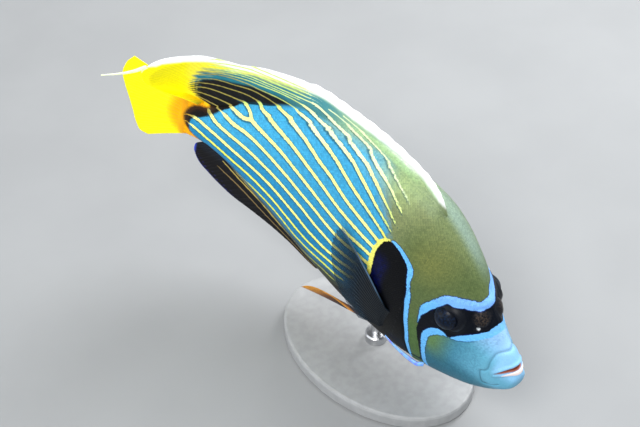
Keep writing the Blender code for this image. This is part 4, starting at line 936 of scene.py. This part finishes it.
def scale_patch(name, px, py, s_lo, s_hi, want, lift=1.0, side_only=None):
    """Staggered rows of scales over the skin; px along, py between rows (mm). want(s, z) -> bool."""
    px_l, py_l = px * mm / SL, py * mm / SL
    rows = int(.50 / py_l)
    out_s, out_v, out_side = [], [], []
    for r in range(-rows, rows + 1):
        n = int((s_hi - s_lo) / px_l)
        s = s_lo + (np.arange(n) + (.5 if r % 2 else 0.0)) * px_l
        g = np.interp(s, S_RINGS, GIRTH)
        # rows are counted from the middle of the side; those past the back or belly end there
        v = r * py_l + 0 * s
        ok = np.abs(v) < g / 2 - .25 * py_l
        for left in (False, True):
            out_s.append(s[ok])
            out_v.append(v[ok])
            out_side.append(np.full(ok.sum(), left))
    s, v, left = map(np.concatenate, (out_s, out_v, out_side))
    s = s + rng.normal(0, .07, len(s)) * px_l
    v = v + rng.normal(0, .07, len(s)) * py_l
    g = np.interp(s, S_RINGS, GIRTH)
    fj = (v / g + .5) * N_SIDE
    colm = np.where(left, NC - fj, fj)
    # rows along the middle of the back and belly close the coat there
    sm = s_lo + np.arange(int((s_hi - s_lo) / px_l)) * px_l
    for middle in (0.0, float(N_SIDE)):
        for off in (-.5, 0, .5):
            s = np.concatenate([s, sm + px_l * (.5 if off else 0)])
            gm = np.interp(sm, S_RINGS, GIRTH)
            colm = np.concatenate([colm, middle + off * py_l / gm * N_SIDE])
    colm = colm % NC
    g = np.interp(s, S_RINGS, GIRTH)
    left = colm > N_SIDE
    z = bilerp(ZG, np.interp(s, S_RINGS, np.arange(NR)), colm)
    ok = want(s, z)
    s, colm, left, g = s[ok], colm[ok], left[ok], g[ok]
    v = (np.where(left, NC - colm, colm) / N_SIDE - .5) * g
    n = len(s)
    size = rng.uniform(.93, 1.07, n)
    pts = np.vstack([OUTLINE, TOPC, BOTC])                       # 10 points
    S = s[:, None] + pts[None, :, 0] * px_l * size[:, None]
    # rows keep their distance from the middle of the side as the body narrows
    G = np.interp(S, S_RINGS, GIRTH)
    shift = (v[:, None] / G - v[:, None] / g[:, None]) * N_SIDE
    fi = np.interp(S.ravel(), S_RINGS, np.arange(NR))
    FJ = ((colm[:, None] + np.where(left[:, None], -shift, shift) + pts[None, :, 1] * size[:, None] * (py_l / G) * N_SIDE) % NC).ravel()
    base = bilerp(P1, fi, FJ)
    nrm = bilerp(NRM1, fi, FJ)
    nrm /= np.maximum(np.linalg.norm(nrm, axis=1), 1e-9)[:, None]
    hgt = pts[None, :, 2] * lift * (.22 + .78 * ramp(s, .09, .24))[:, None] * (.85 + .3 * rng.random((n, 1))) * mm * np.ones((n, 1))
    co = base + nrm * hgt.reshape(-1, 1)
    ms, mz = S.ravel(), bilerp(ZG, fi, FJ)
    # the pattern steps from scale to scale
    jit = rng.normal(0, 1, (n, 2))
    ms = ms + np.repeat(jit[:, 0], 10) * (.0005 + .0022 * ramp(mz, .17, .20) * ramp(.045 - np.abs(ms - .415), 0, .03))
    mz = mz + np.repeat(jit[:, 1], 10) * .00035
    o = np.arange(n)[:, None] * 10
    top = np.stack([np.stack([o[:, 0] + 8, o[:, 0] + a_, o[:, 0] + (a_ + 1) % 8], -1) for a_ in range(8)], 1).reshape(-1, 3)
    bot = np.stack([np.stack([o[:, 0] + 9, o[:, 0] + (a_ + 1) % 8, o[:, 0] + a_], -1) for a_ in range(8)], 1).reshape(-1, 3)
    # face winding: outward on the right side is the reverse of the left
    t0 = co[top[:8 * n:8]]
    fn = np.cross(t0[:, 1] - t0[:, 0], t0[:, 2] - t0[:, 0])
    up = nrm.reshape(n, 10, 3)[:, 8]
    flip = (fn * up).sum(1) < 0
    fl = np.repeat(flip, 8)
    top = np.where(fl[:, None], top[:, ::-1], top)
    bot = np.where(fl[:, None], bot[:, ::-1], bot)
    m = marks(ms, mz, "skin", far_half(bilerp(YG, fi, FJ)))
    rnd = np.repeat(rng.random(n), 10)
    along = np.tile(np.clip((pts[:, 0] + .55) / 1.23, 0, 1), n)
    along = along.reshape(n, 10)
    along[:, 8] = .45
    along = along.ravel()
    groot = np.interp(s, S_RINGS, GIRTH)
    uv0 = uv_of(s, v + groot / 2, groot, left)
    uvl = uv0[:, None, :] + pts[None, :, :2] * np.array([.0013, .0013])
    # pieces of under 200,000 triangles, cut by station
    order = np.argsort(s)
    per = 12000
    made = []
    nparts = max(1, math.ceil(n / per))
    for part in range(nparts):
        take = np.sort(order[part * n // nparts:(part + 1) * n // nparts])
        vid = (take[:, None] * 10 + np.arange(10)).ravel()
        remap = np.full(n * 10, -1)
        remap[vid] = np.arange(len(vid))
        fid = (take[:, None] * 8 + np.arange(8)).ravel()
        ob = new_mesh(f"{name}_{part + 1}", co[vid], [remap[top[fid]], remap[bot[fid]]], SCALES, sharp=35)
        put_marks(ob, {key: val[vid] for key, val in m.items()}, {"rnd": rnd[vid], "along": along[vid]})
        put_uv(ob, uvl.reshape(-1, 2)[vid])
        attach(ob, "root")
        made.append(ob)
    return made


def trunk_want(s, z):
    return (s > .300) & (scaled_amount(s, z) > .5) & (z < back_of(s) - .004) & ((z > belly_of(s) + .003))


def small_want(s, z):
    behind = s > .300
    fin = (z >= back_of(s) - .004) | (z <= belly_of(s) + .003)
    fold = np.interp(z, [-.20, -.10, 0, .1, .15], [.247, .257, .284, .303, .312])
    return np.where(behind, fin & (s < 1.04), (scaled_amount(s, z) > .5))


scale_patch("scales_trunk", 2.30, 1.02, .300, 1.045, trunk_want)
scale_patch("scales_small", 1.55, .70, .065, 1.045, small_want, lift=.72)


# ================================================================== fins
DORSAL_RAYS = [(.330, .334, .290), (.345, .352, .315), (.365, .380, .337), (.400, .425, .351), (.460, .502, .354),
               (.520, .580, .3510), (.580, .650, .3455), (.640, .720, .3425), (.700, .790, .320), (.760, .865, .294),
               (.820, .940, .2665), (.870, 1.005, .2660), (.910, 1.060, .2515), (.940, 1.108, .2300), (.960, 1.140, .200),
               (.970, 1.154, .172), (.977, 1.146, .142), (.982, 1.112, .119), (.986, 1.056, .101), (.988, 1.012, .087)]
DORSAL_SPLIT = 0.690
FILAMENT = [(1.142, .196), (1.174, .176), (1.210, .1645), (1.247, .160)]
ANAL_RAYS = [(.580, .590, -.270), (.592, .612, -.292), (.610, .645, -.288), (.650, .700, -.2735), (.700, .765, -.260),
             (.750, .825, -.2485), (.800, .880, -.236), (.850, .930, -.210), (.890, .962, -.186), (.920, .987, -.163),
             (.940, 1.001, -.138), (.955, 1.008, -.113), (.965, 1.006, -.095), (.970, .996, -.083)]
CAUDAL_RAYS = [(-.066, 1.130, -.128), (-.053, 1.150, -.121), (-.040, 1.164, -.092), (-.020, 1.176, -.046), (.000, 1.189, .000),
               (.020, 1.202, .044), (.040, 1.210, .086), (.056, 1.203, .125), (.069, 1.186, .155)]
PECTORAL_RAYS = [(.316, -.036, .517, .106), (.318, -.046, .529, .077), (.320, -.056, .531, .038), (.322, -.066, .524, -.004),
                 (.324, -.076, .509, -.048), (.326, -.086, .487, -.088), (.328, -.096, .459, -.120), (.330, -.105, .426, -.141),
                 (.331, -.112, .393, -.149)]
PECTORAL_LIFT = (0.0042, 0.020)
PELVIC_RAYS = [(.338, .613, -.349), (.345, .598, -.326), (.352, .570, -.302), (.360, .532, -.284), (.367, .492, -.272), (.374, .455, -.264)]
PELVIC_OUT = (0.020, 0.036)
LOBE_SWING = (0.900, 0.30, 1.2)


def swing(s, v):
    d = np.clip(np.asarray(s, float) - LOBE_SWING[0], 0, None)
    return LOBE_SWING[1] * d ** LOBE_SWING[2] * np.minimum(1.0, v * 1.15) ** 1.3


def ray_relief(nrays, u, v, branch=True, sharp=3.0):
    """0 between rays, 1 on a ray; rays fork once on their way out."""
    a = .5 + .5 * np.cos(2 * math.pi * nrays * u)
    if branch:
        b = .5 + .5 * np.cos(2 * math.pi * nrays * 2 * u + math.pi)
        w = ramp(v, .45, .75)
        a = a * (1 - w) + (.5 + .5 * np.cos(4 * math.pi * nrays * u)) * w
    return a ** sharp


def fin_sheet(name, S, Y, Z, half, mat, zone, nrays, ray_mm=.16, branch=True, extra_marks=None, node=None):
    """A closed fin over grid (v root to margin, u along the margin) of straight fish points; half = half-thickness in mm."""
    nv, nu = S.shape
    p = pose(np.stack([S, Y, Z], -1))
    du, dv = np.gradient(p, axis=1), np.gradient(p, axis=0)
    n = np.cross(du, dv)
    n /= np.maximum(np.linalg.norm(n, axis=2), 1e-12)[..., None]
    V, U = np.meshgrid(np.linspace(0, 1, nv), np.linspace(0, 1, nu), indexing="ij")
    ray = ray_relief(nrays, U, V, branch)
    h = (half + ray_mm * ray * (1 - .55 * V) * ramp(V, 0, .08)) * mm
    # round the margin off
    edge = np.minimum(np.minimum((1 - V) / .012, 1), np.minimum(np.minimum(U, 1 - U) / .004, 1))
    h = h * np.sqrt(np.clip(1 - (1 - np.clip(edge, 0, 1)) ** 2, .02, 1))
    A, B = p + n * h[..., None], p - n * h[..., None]
    vs = np.vstack([A.reshape(-1, 3), B.reshape(-1, 3)])
    k_ = nv * nu
    i_, j_ = np.meshgrid(np.arange(nv - 1), np.arange(nu - 1), indexing="ij")
    a_, b_, c_, d_ = ((i_ * nu + j_).ravel(), (i_ * nu + j_ + 1).ravel(), ((i_ + 1) * nu + j_ + 1).ravel(), ((i_ + 1) * nu + j_).ravel())
    f1 = np.stack([a_, b_, c_, d_], -1)
    f2 = np.stack([a_, d_, c_, b_], -1) + k_
    rim = np.concatenate([np.arange(nu), np.arange(1, nv) * nu + nu - 1, (nv - 1) * nu + np.arange(nu - 2, -1, -1), np.arange(nv - 2, 0, -1) * nu])
    r2 = np.roll(rim, -1)
    f3 = np.stack([r2, rim, rim + k_, r2 + k_], -1)
    ob = new_mesh(name, vs, [f1, f2, f3], mat)
    m_ = marks(S.ravel(), Z.ravel(), zone)
    m_ = {key: np.concatenate([val, val]) for key, val in m_.items()}
    if extra_marks:
        m_ = extra_marks(m_, np.concatenate([U.ravel()] * 2), np.concatenate([V.ravel()] * 2))
    put_marks(ob, m_, {"ray": np.concatenate([ray.ravel()] * 2), "vv": np.concatenate([V.ravel()] * 2), "uu": np.concatenate([U.ravel()] * 2)})
    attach(ob, "root")
    if node:
        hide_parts(*node)
    # outward normals
    me_ = ob.data
    import bmesh
    bm = bmesh.new()
    bm.from_mesh(me_)
    bmesh.ops.recalc_face_normals(bm, faces=bm.faces)
    bm.to_mesh(me_)
    bm.free()
    return ob


def ray_table(rays, u):
    rays = np.array(rays)
    key = np.linspace(0, 1, len(rays))
    return [smooth_curve(key, rays[:, c])(u) for c in range(rays.shape[1])]


def scallop(u, n, amount):
    return amount * (np.abs(np.cos(math.pi * n * u)) ** 1.5)


FINM = fin_material("fin_membrane", rough=.5, ray_dark=.12, coat=.02)
CAUDM = fin_material("tail_membrane", ray_dark=.07)
SPINYM = fin_material("spiny_membrane", ray_dark=.06)

# spiny and soft dorsal, from under the fleshy base to the margin
keys = np.array(DORSAL_RAYS)[:, 0]
u_split = float(np.interp(DORSAL_SPLIT, keys, np.linspace(0, 1, len(keys))))


def dorsal_grid(u0, u1, nu, nv, serr=0.0, spines=0):
    u = np.linspace(u0, u1, nu)
    b, s1, z1 = ray_table(DORSAL_RAYS, u)
    v = np.linspace(0, 1, nv)[:, None]
    if serr:
        uu = (u - u0) / (u1 - u0)
        cut = scallop(uu, spines, serr)[None, :] * -1 + serr
        v_top = 1 - cut
    else:
        v_top = np.ones((1, nu))
    vv = v * v_top
    z0 = back_of(b) - .010
    S = b[None, :] + (s1 - b)[None, :] * vv
    Z = z0[None, :] + (z1 - z0)[None, :] * vv
    z_ridge = back_of(b)
    v_from_ridge = np.clip((Z - z_ridge[None, :]) / np.maximum(z1 - z_ridge, 1e-4)[None, :], 0, 1)
    Y = swing(S, v_from_ridge)
    return S, Y, Z


def thin(root, tip, nv, nu, power=.8):
    v = np.linspace(0, 1, nv)[:, None]
    return (root + (tip - root) * v ** power) * np.ones((nv, nu))


nv, nu = 46, 330
S, Y, Z = dorsal_grid(0.0, u_split + .004, nu, nv, .035, 14)
fin_sheet("dorsal_spiny", S, Y, Z, thin(.95, .30, nv, nu), SPINYM, "dorsal", 14, ray_mm=.22, branch=False, node=["dorsal_fin_spiny"])
nv, nu = 64, 440
S, Y, Z = dorsal_grid(u_split + .0045, 1.0, nu, nv)
soft = fin_sheet("dorsal_soft", S, Y, Z, thin(.85, .26, nv, nu), FINM, "dorsal", 21, node=["dorsal_fin_soft"], ray_mm=.08)

# trailing filament of the soft dorsal
t = np.linspace(0, 1, 40)
fs, fz = smooth_curve(np.linspace(0, 1, 4), np.array(FILAMENT)[:, 0])(t), smooth_curve(np.linspace(0, 1, 4), np.array(FILAMENT)[:, 1])(t)
line = pose(np.stack([fs, swing(fs, 1.0), fz], -1))
tan = np.gradient(line, axis=0)
tan /= np.linalg.norm(tan, axis=1)[:, None]
upv = pose(np.stack([fs, swing(fs, 1.0), fz + .01], -1)) - line
upv -= tan * (upv * tan).sum(1)[:, None]
upv /= np.linalg.norm(upv, axis=1)[:, None]
sid = np.cross(tan, upv)
wide, thick = (.0020 * (1 - t) + .00040 * t)[:, None, None], (.00048 * (1 - t) + .00032 * t)[:, None, None]
an = np.linspace(0, 2 * math.pi, 16, endpoint=False)
ring = line[:, None, :] + upv[:, None, :] * np.cos(an)[None, :, None] * wide + sid[:, None, :] * np.sin(an)[None, :, None] * thick
nr_, nc_ = ring.shape[:2]
i_, j_ = np.meshgrid(np.arange(nr_ - 1), np.arange(nc_), indexing="ij")
a_, b_ = (i_ * nc_ + j_).ravel(), (i_ * nc_ + (j_ + 1) % nc_).ravel()
q_ = np.stack([a_, b_, b_ + nc_, a_ + nc_], -1)
vv_ = np.vstack([ring.reshape(-1, 3), line[0], line[-1]])
jj_ = np.arange(nc_)
cap0 = np.stack([np.full(nc_, nr_ * nc_), (jj_ + 1) % nc_, jj_], -1)
cap1 = np.stack([np.full(nc_, nr_ * nc_ + 1), (nr_ - 1) * nc_ + jj_, (nr_ - 1) * nc_ + (jj_ + 1) % nc_], -1)
tr = Tree("filament_white", rough=.45)
fil = new_mesh("dorsal_filament", vv_, [q_, cap0, cap1], tr.out(tr.mix(tr.step(tr.noise(300), .3, .7), tuple(lin(244, 250, 214)), tuple(lin(226, 236, 190)))))
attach(fil, "root")

# anal fin
nv, nu = 56, 330
u = np.linspace(0, 1, nu)
b, s1, z1 = ray_table(ANAL_RAYS, u)
v = np.linspace(0, 1, nv)[:, None]
z0 = belly_of(b) + .010
S = b[None, :] + (s1 - b)[None, :] * v
Z = z0[None, :] + (z1 - z0)[None, :] * v
fin_sheet("anal_fin_sheet", S, 0 * S, Z, thin(.85, .28, nv, nu), FINM, "anal", 22, node=["anal_fin"])

# tail fin
nv, nu = 72, 200
u = np.linspace(0, 1, nu)
zb_, s1, z1 = ray_table(CAUDAL_RAYS, u)
v = np.linspace(0, 1, nv)[:, None]
S = 1.030 + (s1 - 1.030)[None, :] * v
Z = zb_[None, :] * .97 + (z1 - zb_ * .97)[None, :] * v
fin_sheet("tail_fin_sheet", S, 0 * S, Z, thin(1.1, .28, nv, nu, .55), CAUDM, "caudal", 15, node=["caudal_fin"])


# pectoral fins: smoky, see-through towards the margin
def smoke_material():
    tr = Tree("pectoral_smoke", rough=.42, spec=.14, coat=.02, coat_rough=.25)
    ray, vv, uu = tr.attr("ray"), tr.attr("vv"), tr.attr("uu")
    col = tr.mix(tr.math("MULTIPLY", ray, .45), tuple(lin(4, 9, 14)), tuple(lin(24, 40, 56)))
    col = tr.mix(tr.step(vv, .35, .85), col, tuple(lin(18, 44, 62)))
    lead = tr.math("MULTIPLY", tr.step(uu, .05, .0), tr.step(vv, .10, .4))
    col = tr.mix(tr.math("MULTIPLY", lead, .70), col, tuple(lin(92, 124, 156)))
    col = tr.mix(tr.step(tr.noise(240, 3.0), .4, .7, 0, .3), col, tuple(lin(6, 8, 12)))
    tr.link(tr.math("ADD", tr.step(vv, .30, .95, 1.0, .36), tr.math("MULTIPLY", ray, .20), clamp=True), tr.b.inputs["Alpha"])
    tr.bump(ray, .3, .0001)
    return tr.out(col)


def pelvic_material():
    tr = Tree("pelvic_amber", rough=.42, spec=.45, coat=.1)
    vv, ray, uu = tr.attr("vv"), tr.attr("ray"), tr.attr("uu")
    col = tr.mix(tr.step(vv, .50, .86), tuple(lin(20, 13, 11)), tuple(lin(104, 56, 16)))
    col = tr.mix(tr.step(vv, .72, 1.0), col, tuple(lin(206, 138, 22)))
    col = tr.mix(tr.math("MULTIPLY", ray, .22), col, tuple(lin(110, 66, 24)))
    col = tr.mix(tr.math("MULTIPLY", tr.step(uu, .10, .0), .4), col, tuple(lin(70, 84, 130)))
    col = tr.mix(tr.step(tr.noise(400, 3.0), .4, .7, 0, .3), col, tuple(lin(20, 12, 8)))
    tr.bump(ray, .3, .0001)
    return tr.out(col)


PECM, PELM = smoke_material(), pelvic_material()
for word, side in (("right", 1), ("left", -1)):
    nv, nu = 80, 150
    u = np.linspace(0, 1, nu)
    sb, zb_, s1, z1 = ray_table(PECTORAL_RAYS, u)
    v = np.linspace(0, 1, nv)[:, None]
    tip = 1 + .012 * np.cos(2 * math.pi * 17 * u)[None, :] * ramp(v, .8, 1)
    S = sb[None, :] + (s1 - sb)[None, :] * v * tip
    Z = zb_[None, :] + (z1 - zb_)[None, :] * v * tip + .012 * np.sin(math.pi * v) * (1 - u)[None, :]
    lift = PECTORAL_LIFT[0] + (PECTORAL_LIFT[1] - PECTORAL_LIFT[0]) * v ** 1.3
    lift = lift - .010 * (1 - ramp(v, 0, .10)) + 0 * S
    Y = (flank(S, Z) + lift) * side
    fin_sheet(f"pectoral_{word}", S, Y, Z, thin(.55, .16, nv, nu, .7), PECM, "anal", 17, ray_mm=.16, node=[f"pectoral_fin_{word}"])
    nv, nu = 90, 60
    u = np.linspace(0, 1, nu)
    sb, s1, z1 = ray_table(PELVIC_RAYS, u)
    v = np.linspace(0, 1, nv)[:, None]
    top_, low_, w_ = back_of(sb), belly_of(sb), width_of(sb)
    zroot = (top_ + low_) / 2 - (top_ - low_) / 2 * (1 - (PELVIC_OUT[0] / w_) ** PW) ** (1 / PW) + .006
    S = sb[None, :] + (s1 - sb)[None, :] * v
    Z = zroot[None, :] + (z1 - zroot)[None, :] * v
    Y = side * (PELVIC_OUT[0] + (PELVIC_OUT[1] - PELVIC_OUT[0]) * v) + 0 * S
    fin_sheet(f"pelvic_{word}", S, Y, Z, thin(.70, .25, nv, nu, .7), PELM, "anal", 6, ray_mm=.22, node=[f"pelvic_fin_{word}"])


# ================================================================== eyes
def eye_material():
    tr = Tree("eye", rough=.34, spec=.10, coat=.05, coat_rough=.10)
    r = tr.attr("radial")
    col = tr.mix(tr.step(r, .50, .54), tuple(lin(5, 8, 14)), tuple(lin(9, 11, 16)))
    # painted reflection: blue-grey speckle over the eye for blue light reflected by the cornea
    col = tr.mix(tr.step(tr.noise(700, 3.0), .35, .75, 0, .35), col, tuple(lin(22, 50, 88)))
    ring_ = tr.math("MULTIPLY", tr.step(r, .50, .53), tr.step(r, .60, .56))
    col = tr.mix(tr.math("MULTIPLY", ring_, .45), col, tuple(lin(26, 38, 56)))
    col = tr.mix(tr.step(r, .86, .97), col, tuple(lin(10, 12, 20)))
    return tr.out(col)


EYEM = eye_material()
for word, side in (("right", 1), ("left", -1)):
    s, z = EYE
    pt = lambda ds, dz: pose(np.array([s + ds, (float(flank(s + ds, z + dz)) + ORBIT_RISE / SL) * side, z + dz]))
    e = .012
    along, up = pt(e, 0) - pt(-e, 0), pt(0, e) - pt(0, -e)
    along /= np.linalg.norm(along)
    out = np.cross(along, up)
    out /= np.linalg.norm(out)
    if np.dot(out, pose(np.array([s, .2 * side, z])) - pose(np.array([s, 0, z]))) < 0:
        out = -out
    up = np.cross(out, along)
    centre = pt(0, 0) - out * EYE_DEPTH
    nu, nv = 72, 44
    co, rad = [centre - out * EYE_RADII[1]], [0.0]
    for i_ in range(1, nv):
        t_ = math.pi * i_ / nv - math.pi / 2
        # the cornea stands a little proud of the globe
        bulge = 1 + .10 * math.exp(-((math.pi / 2 - t_) / .50) ** 2) if t_ > 0 else 1.0
        for j_ in range(nu):
            a_ = 2 * math.pi * j_ / nu
            co.append(centre + out * math.sin(t_) * EYE_RADII[1] * bulge + (along * math.cos(a_) * EYE_RADII[0] + up * math.sin(a_) * EYE_RADII[2]) * math.cos(t_))
            rad.append(math.cos(t_) if t_ > 0 else 1.0)
    co.append(centre + out * EYE_RADII[1] * 1.10)
    rad.append(0.0)
    fc = [np.array([(0, 1 + (j_ + 1) % nu, 1 + j_) for j_ in range(nu)]),
          np.array([(1 + i_ * nu + j_, 1 + i_ * nu + (j_ + 1) % nu, 1 + (i_ + 1) * nu + (j_ + 1) % nu, 1 + (i_ + 1) * nu + j_) for i_ in range(nv - 2) for j_ in range(nu)]),
          np.array([(1 + (nv - 2) * nu + j_, 1 + (nv - 2) * nu + (j_ + 1) % nu, len(co) - 1) for j_ in range(nu)])]
    eye = new_mesh(f"eyeball_{word}", np.array(co), fc, EYEM)
    put_attr(eye, "radial", np.array(rad))
    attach(eye, "root")
    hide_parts(f"eye_{word}")

# ================================================================== cheek spines
CHEEK_SPINE = [(.207, -.152), (.240, -.152), (.275, -.150), (.318, -.146)]
cs = np.array(CHEEK_SPINE)
tr = Tree("cheek_spine", rough=.25, spec=.5, coat=.4, coat_rough=.12)
n_ = tr.noise(260, 3.0)
SPINEM = tr.out(tr.mix(tr.step(n_, .35, .65), tuple(lin(112, 128, 240)), tuple(lin(120, 186, 250))))
for word, side in (("right", 1), ("left", -1)):
    nt, na = 40, 20
    t = np.linspace(0, 1, nt)
    s_, z_ = smooth_curve(np.linspace(0, 1, 4), cs[:, 0])(t), smooth_curve(np.linspace(0, 1, 4), cs[:, 1])(t)
    f = lambda a, b: pose(np.stack([a, flank(a, b) * side, b], -1))
    e = .004
    ta, tb = f(s_ + e, z_) - f(s_ - e, z_), f(s_, z_ + e) - f(s_, z_ - e)
    nn = np.cross(ta, tb)
    nn /= np.linalg.norm(nn, axis=1)[:, None]
    nn *= np.sign((nn * (pose(np.stack([s_, .2 * side + 0 * s_, z_], -1)) - pose(np.stack([s_, 0 * s_, z_], -1)))).sum(1))[:, None]
    r_ = .0019 * (1 - t) ** .85 + .0004 * t
    mid = f(s_, z_) + nn * (r_ + .0007 + .0006 * np.sin(math.pi * t))[:, None]
    mid = mid - nn * (.0022 * (1 - ramp(t, 0, .16)))[:, None]
    d_ = np.gradient(mid, axis=0)
    d_ /= np.linalg.norm(d_, axis=1)[:, None]
    a1 = nn - d_ * (nn * d_).sum(1)[:, None]
    a1 /= np.linalg.norm(a1, axis=1)[:, None]
    b1 = np.cross(d_, a1)
    an = np.linspace(0, 2 * math.pi, na, endpoint=False)
    rr = r_[:, None, None] * (1 + .10 * np.cos(3 * an))[None, :, None]
    ring = mid[:, None, :] + (a1[:, None, :] * np.cos(an)[None, :, None] * .85 + b1[:, None, :] * np.sin(an)[None, :, None] * 1.15) * rr
    i_, j_ = np.meshgrid(np.arange(nt - 1), np.arange(na), indexing="ij")
    a_, b_ = (i_ * na + j_).ravel(), (i_ * na + (j_ + 1) % na).ravel()
    jj_ = np.arange(na)
    sp = new_mesh(f"spine_{word}", np.vstack([ring.reshape(-1, 3), mid[0], mid[-1] + d_[-1] * .0004]),
                  [np.stack([a_, b_, b_ + na, a_ + na], -1), np.stack([np.full(na, nt * na), (jj_ + 1) % na, jj_], -1),
                   np.stack([np.full(na, nt * na + 1), (nt - 1) * na + jj_, (nt - 1) * na + (jj_ + 1) % na], -1)], SPINEM)
    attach(sp, "root")
    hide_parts(f"cheek_spine_{word}")

# ================================================================== stand
tr = Tree("stand_paint", rough=.42, spec=.5)
n_ = tr.noise(180, 4.0)
col = tr.mix(tr.step(n_, .3, .7), tuple(lin(150, 152, 154)), tuple(lin(158, 160, 162)))
tr.bump(tr.noise(2600, 3.0), .20, .0001)
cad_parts["stand_base"].data.materials.clear()
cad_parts["stand_base"].data.materials.append(tr.out(col))
tr = Tree("stand_steel", rough=.30, metallic=1.0)
n_ = tr.noise(90, 2.0)
col = tr.mix(tr.step(n_, .3, .7), (.52, .53, .55), (.60, .61, .63))
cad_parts["stand_rod"].data.materials.clear()
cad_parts["stand_rod"].data.materials.append(tr.out(col))

# ================================================================== floor, light, camera
tr = Tree("floor_pale", rough=.75, spec=.2)
n_ = tr.noise(9, 4.0)
tr.out(tr.mix(tr.step(n_, .3, .7), tuple(lin(142, 144, 146)), tuple(lin(146, 148, 150))))
floor = new_mesh("floor", np.array([(-6, -6, -.0004), (6, -6, -.0004), (6, 6, -.0004), (-6, 6, -.0004)], float), np.array([(0, 1, 2, 3)]), tr.m)

world = bpy.data.worlds.new("studio")
bpy.context.scene.world = world
world.use_nodes = True
bg = world.node_tree.nodes["Background"]
bg.inputs["Color"].default_value = (.86, .89, .92, 1)
bg.inputs["Strength"].default_value = .72


def area(name, loc, target, size, power, colour=(1, 1, 1)):
    d = bpy.data.lights.new(name, "AREA")
    d.shape = "RECTANGLE"
    d.size, d.size_y = size
    d.energy = power
    d.color = colour
    o = bpy.data.objects.new(name, d)
    bpy.context.collection.objects.link(o)
    o.location = loc
    o.rotation_euler = (Vector(target) - Vector(loc)).to_track_quat("-Z", "Y").to_euler()
    return o


mid = (0, 0, .11)
key = bpy.data.lights.new("key", "SUN")
key.energy, key.angle, key.color = 2.3, math.radians(26), (1.0, .985, .95)
key_ob = bpy.data.objects.new("key", key)
bpy.context.collection.objects.link(key_ob)
key_ob.location = (-.75, -.35, 1.15)
key_ob.rotation_euler = (Vector(mid) - key_ob.location).to_track_quat("-Z", "Y").to_euler()
area("ridge", (.62, .04, 1.02), mid, (.35, 1.3), 17, (1.0, 1.0, 1.0))
area("fill_right", (-1.2, .60, .34), mid, (.9, .9), 5.0, (.94, .97, 1.0))
spot = bpy.data.lights.new("tail_spot", "SPOT")
spot.energy, spot.spot_size, spot.spot_blend, spot.shadow_soft_size, spot.color = 14, math.radians(24), 1.0, .10, (1.0, .99, .96)
spot_ob = bpy.data.objects.new("tail_spot", spot)
bpy.context.collection.objects.link(spot_ob)
spot_ob.location = (-.72, -.40, .17)
spot_ob.rotation_euler = (Vector((-.035, .140, .20)) - Vector((-.72, -.40, .17))).to_track_quat("-Z", "Y").to_euler()
area("fill_left", (1.2, -.9, .6), mid, (.9, .9), 2, (.95, .98, 1.0))

# camera, where the fish's own proportions put it: axes in the fish's forward, right and up
AX = {"x": (.6593, -.7227, .2074), "y": (-.6972, -.4844, .5284), "z": (.2814, .4930, .8233)}
DIST = 3.5312 * SL
FOCAL_PX = 424.3975 * 3.5312
REF_S, REF_PX = .45, (383.51, 248.64)
axes = {k_: Vector(fish_to_world(np.array(a_[0]), np.array(a_[1]), np.array(a_[2])) - fish_to_world(np.array(0.), np.array(0.), np.array(0.))) for k_, a_ in AX.items()}
ref = Vector(pose(np.array([REF_S, 0.0, 0.0])))
eye_pos = ref + axes["z"].normalized() * DIST
x_, y_, z_ = (axes[k_].normalized() for k_ in "xyz")
look = (x_ * ((320 - REF_PX[0]) / FOCAL_PX) - y_ * ((213.5 - REF_PX[1]) / FOCAL_PX) - z_).normalized()
right = (x_ - look * x_.dot(look)).normalized()
upc = right.cross(look).normalized()
cd = bpy.data.cameras.new("camera")
cd.sensor_width = 36.0
cd.lens = FOCAL_PX / 640 * 36.0
cd.clip_start, cd.clip_end = .02, 50
cam = bpy.data.objects.new("camera", cd)
bpy.context.collection.objects.link(cam)
rot = Matrix((right, upc, -look)).transposed()
cam.matrix_world = Matrix.Translation(eye_pos) @ rot.to_4x4()
sc = bpy.context.scene
sc.camera = cam
sc.view_settings.view_transform = "Standard"
sc.view_settings.look = "None"
sc.view_settings.exposure = 0.0
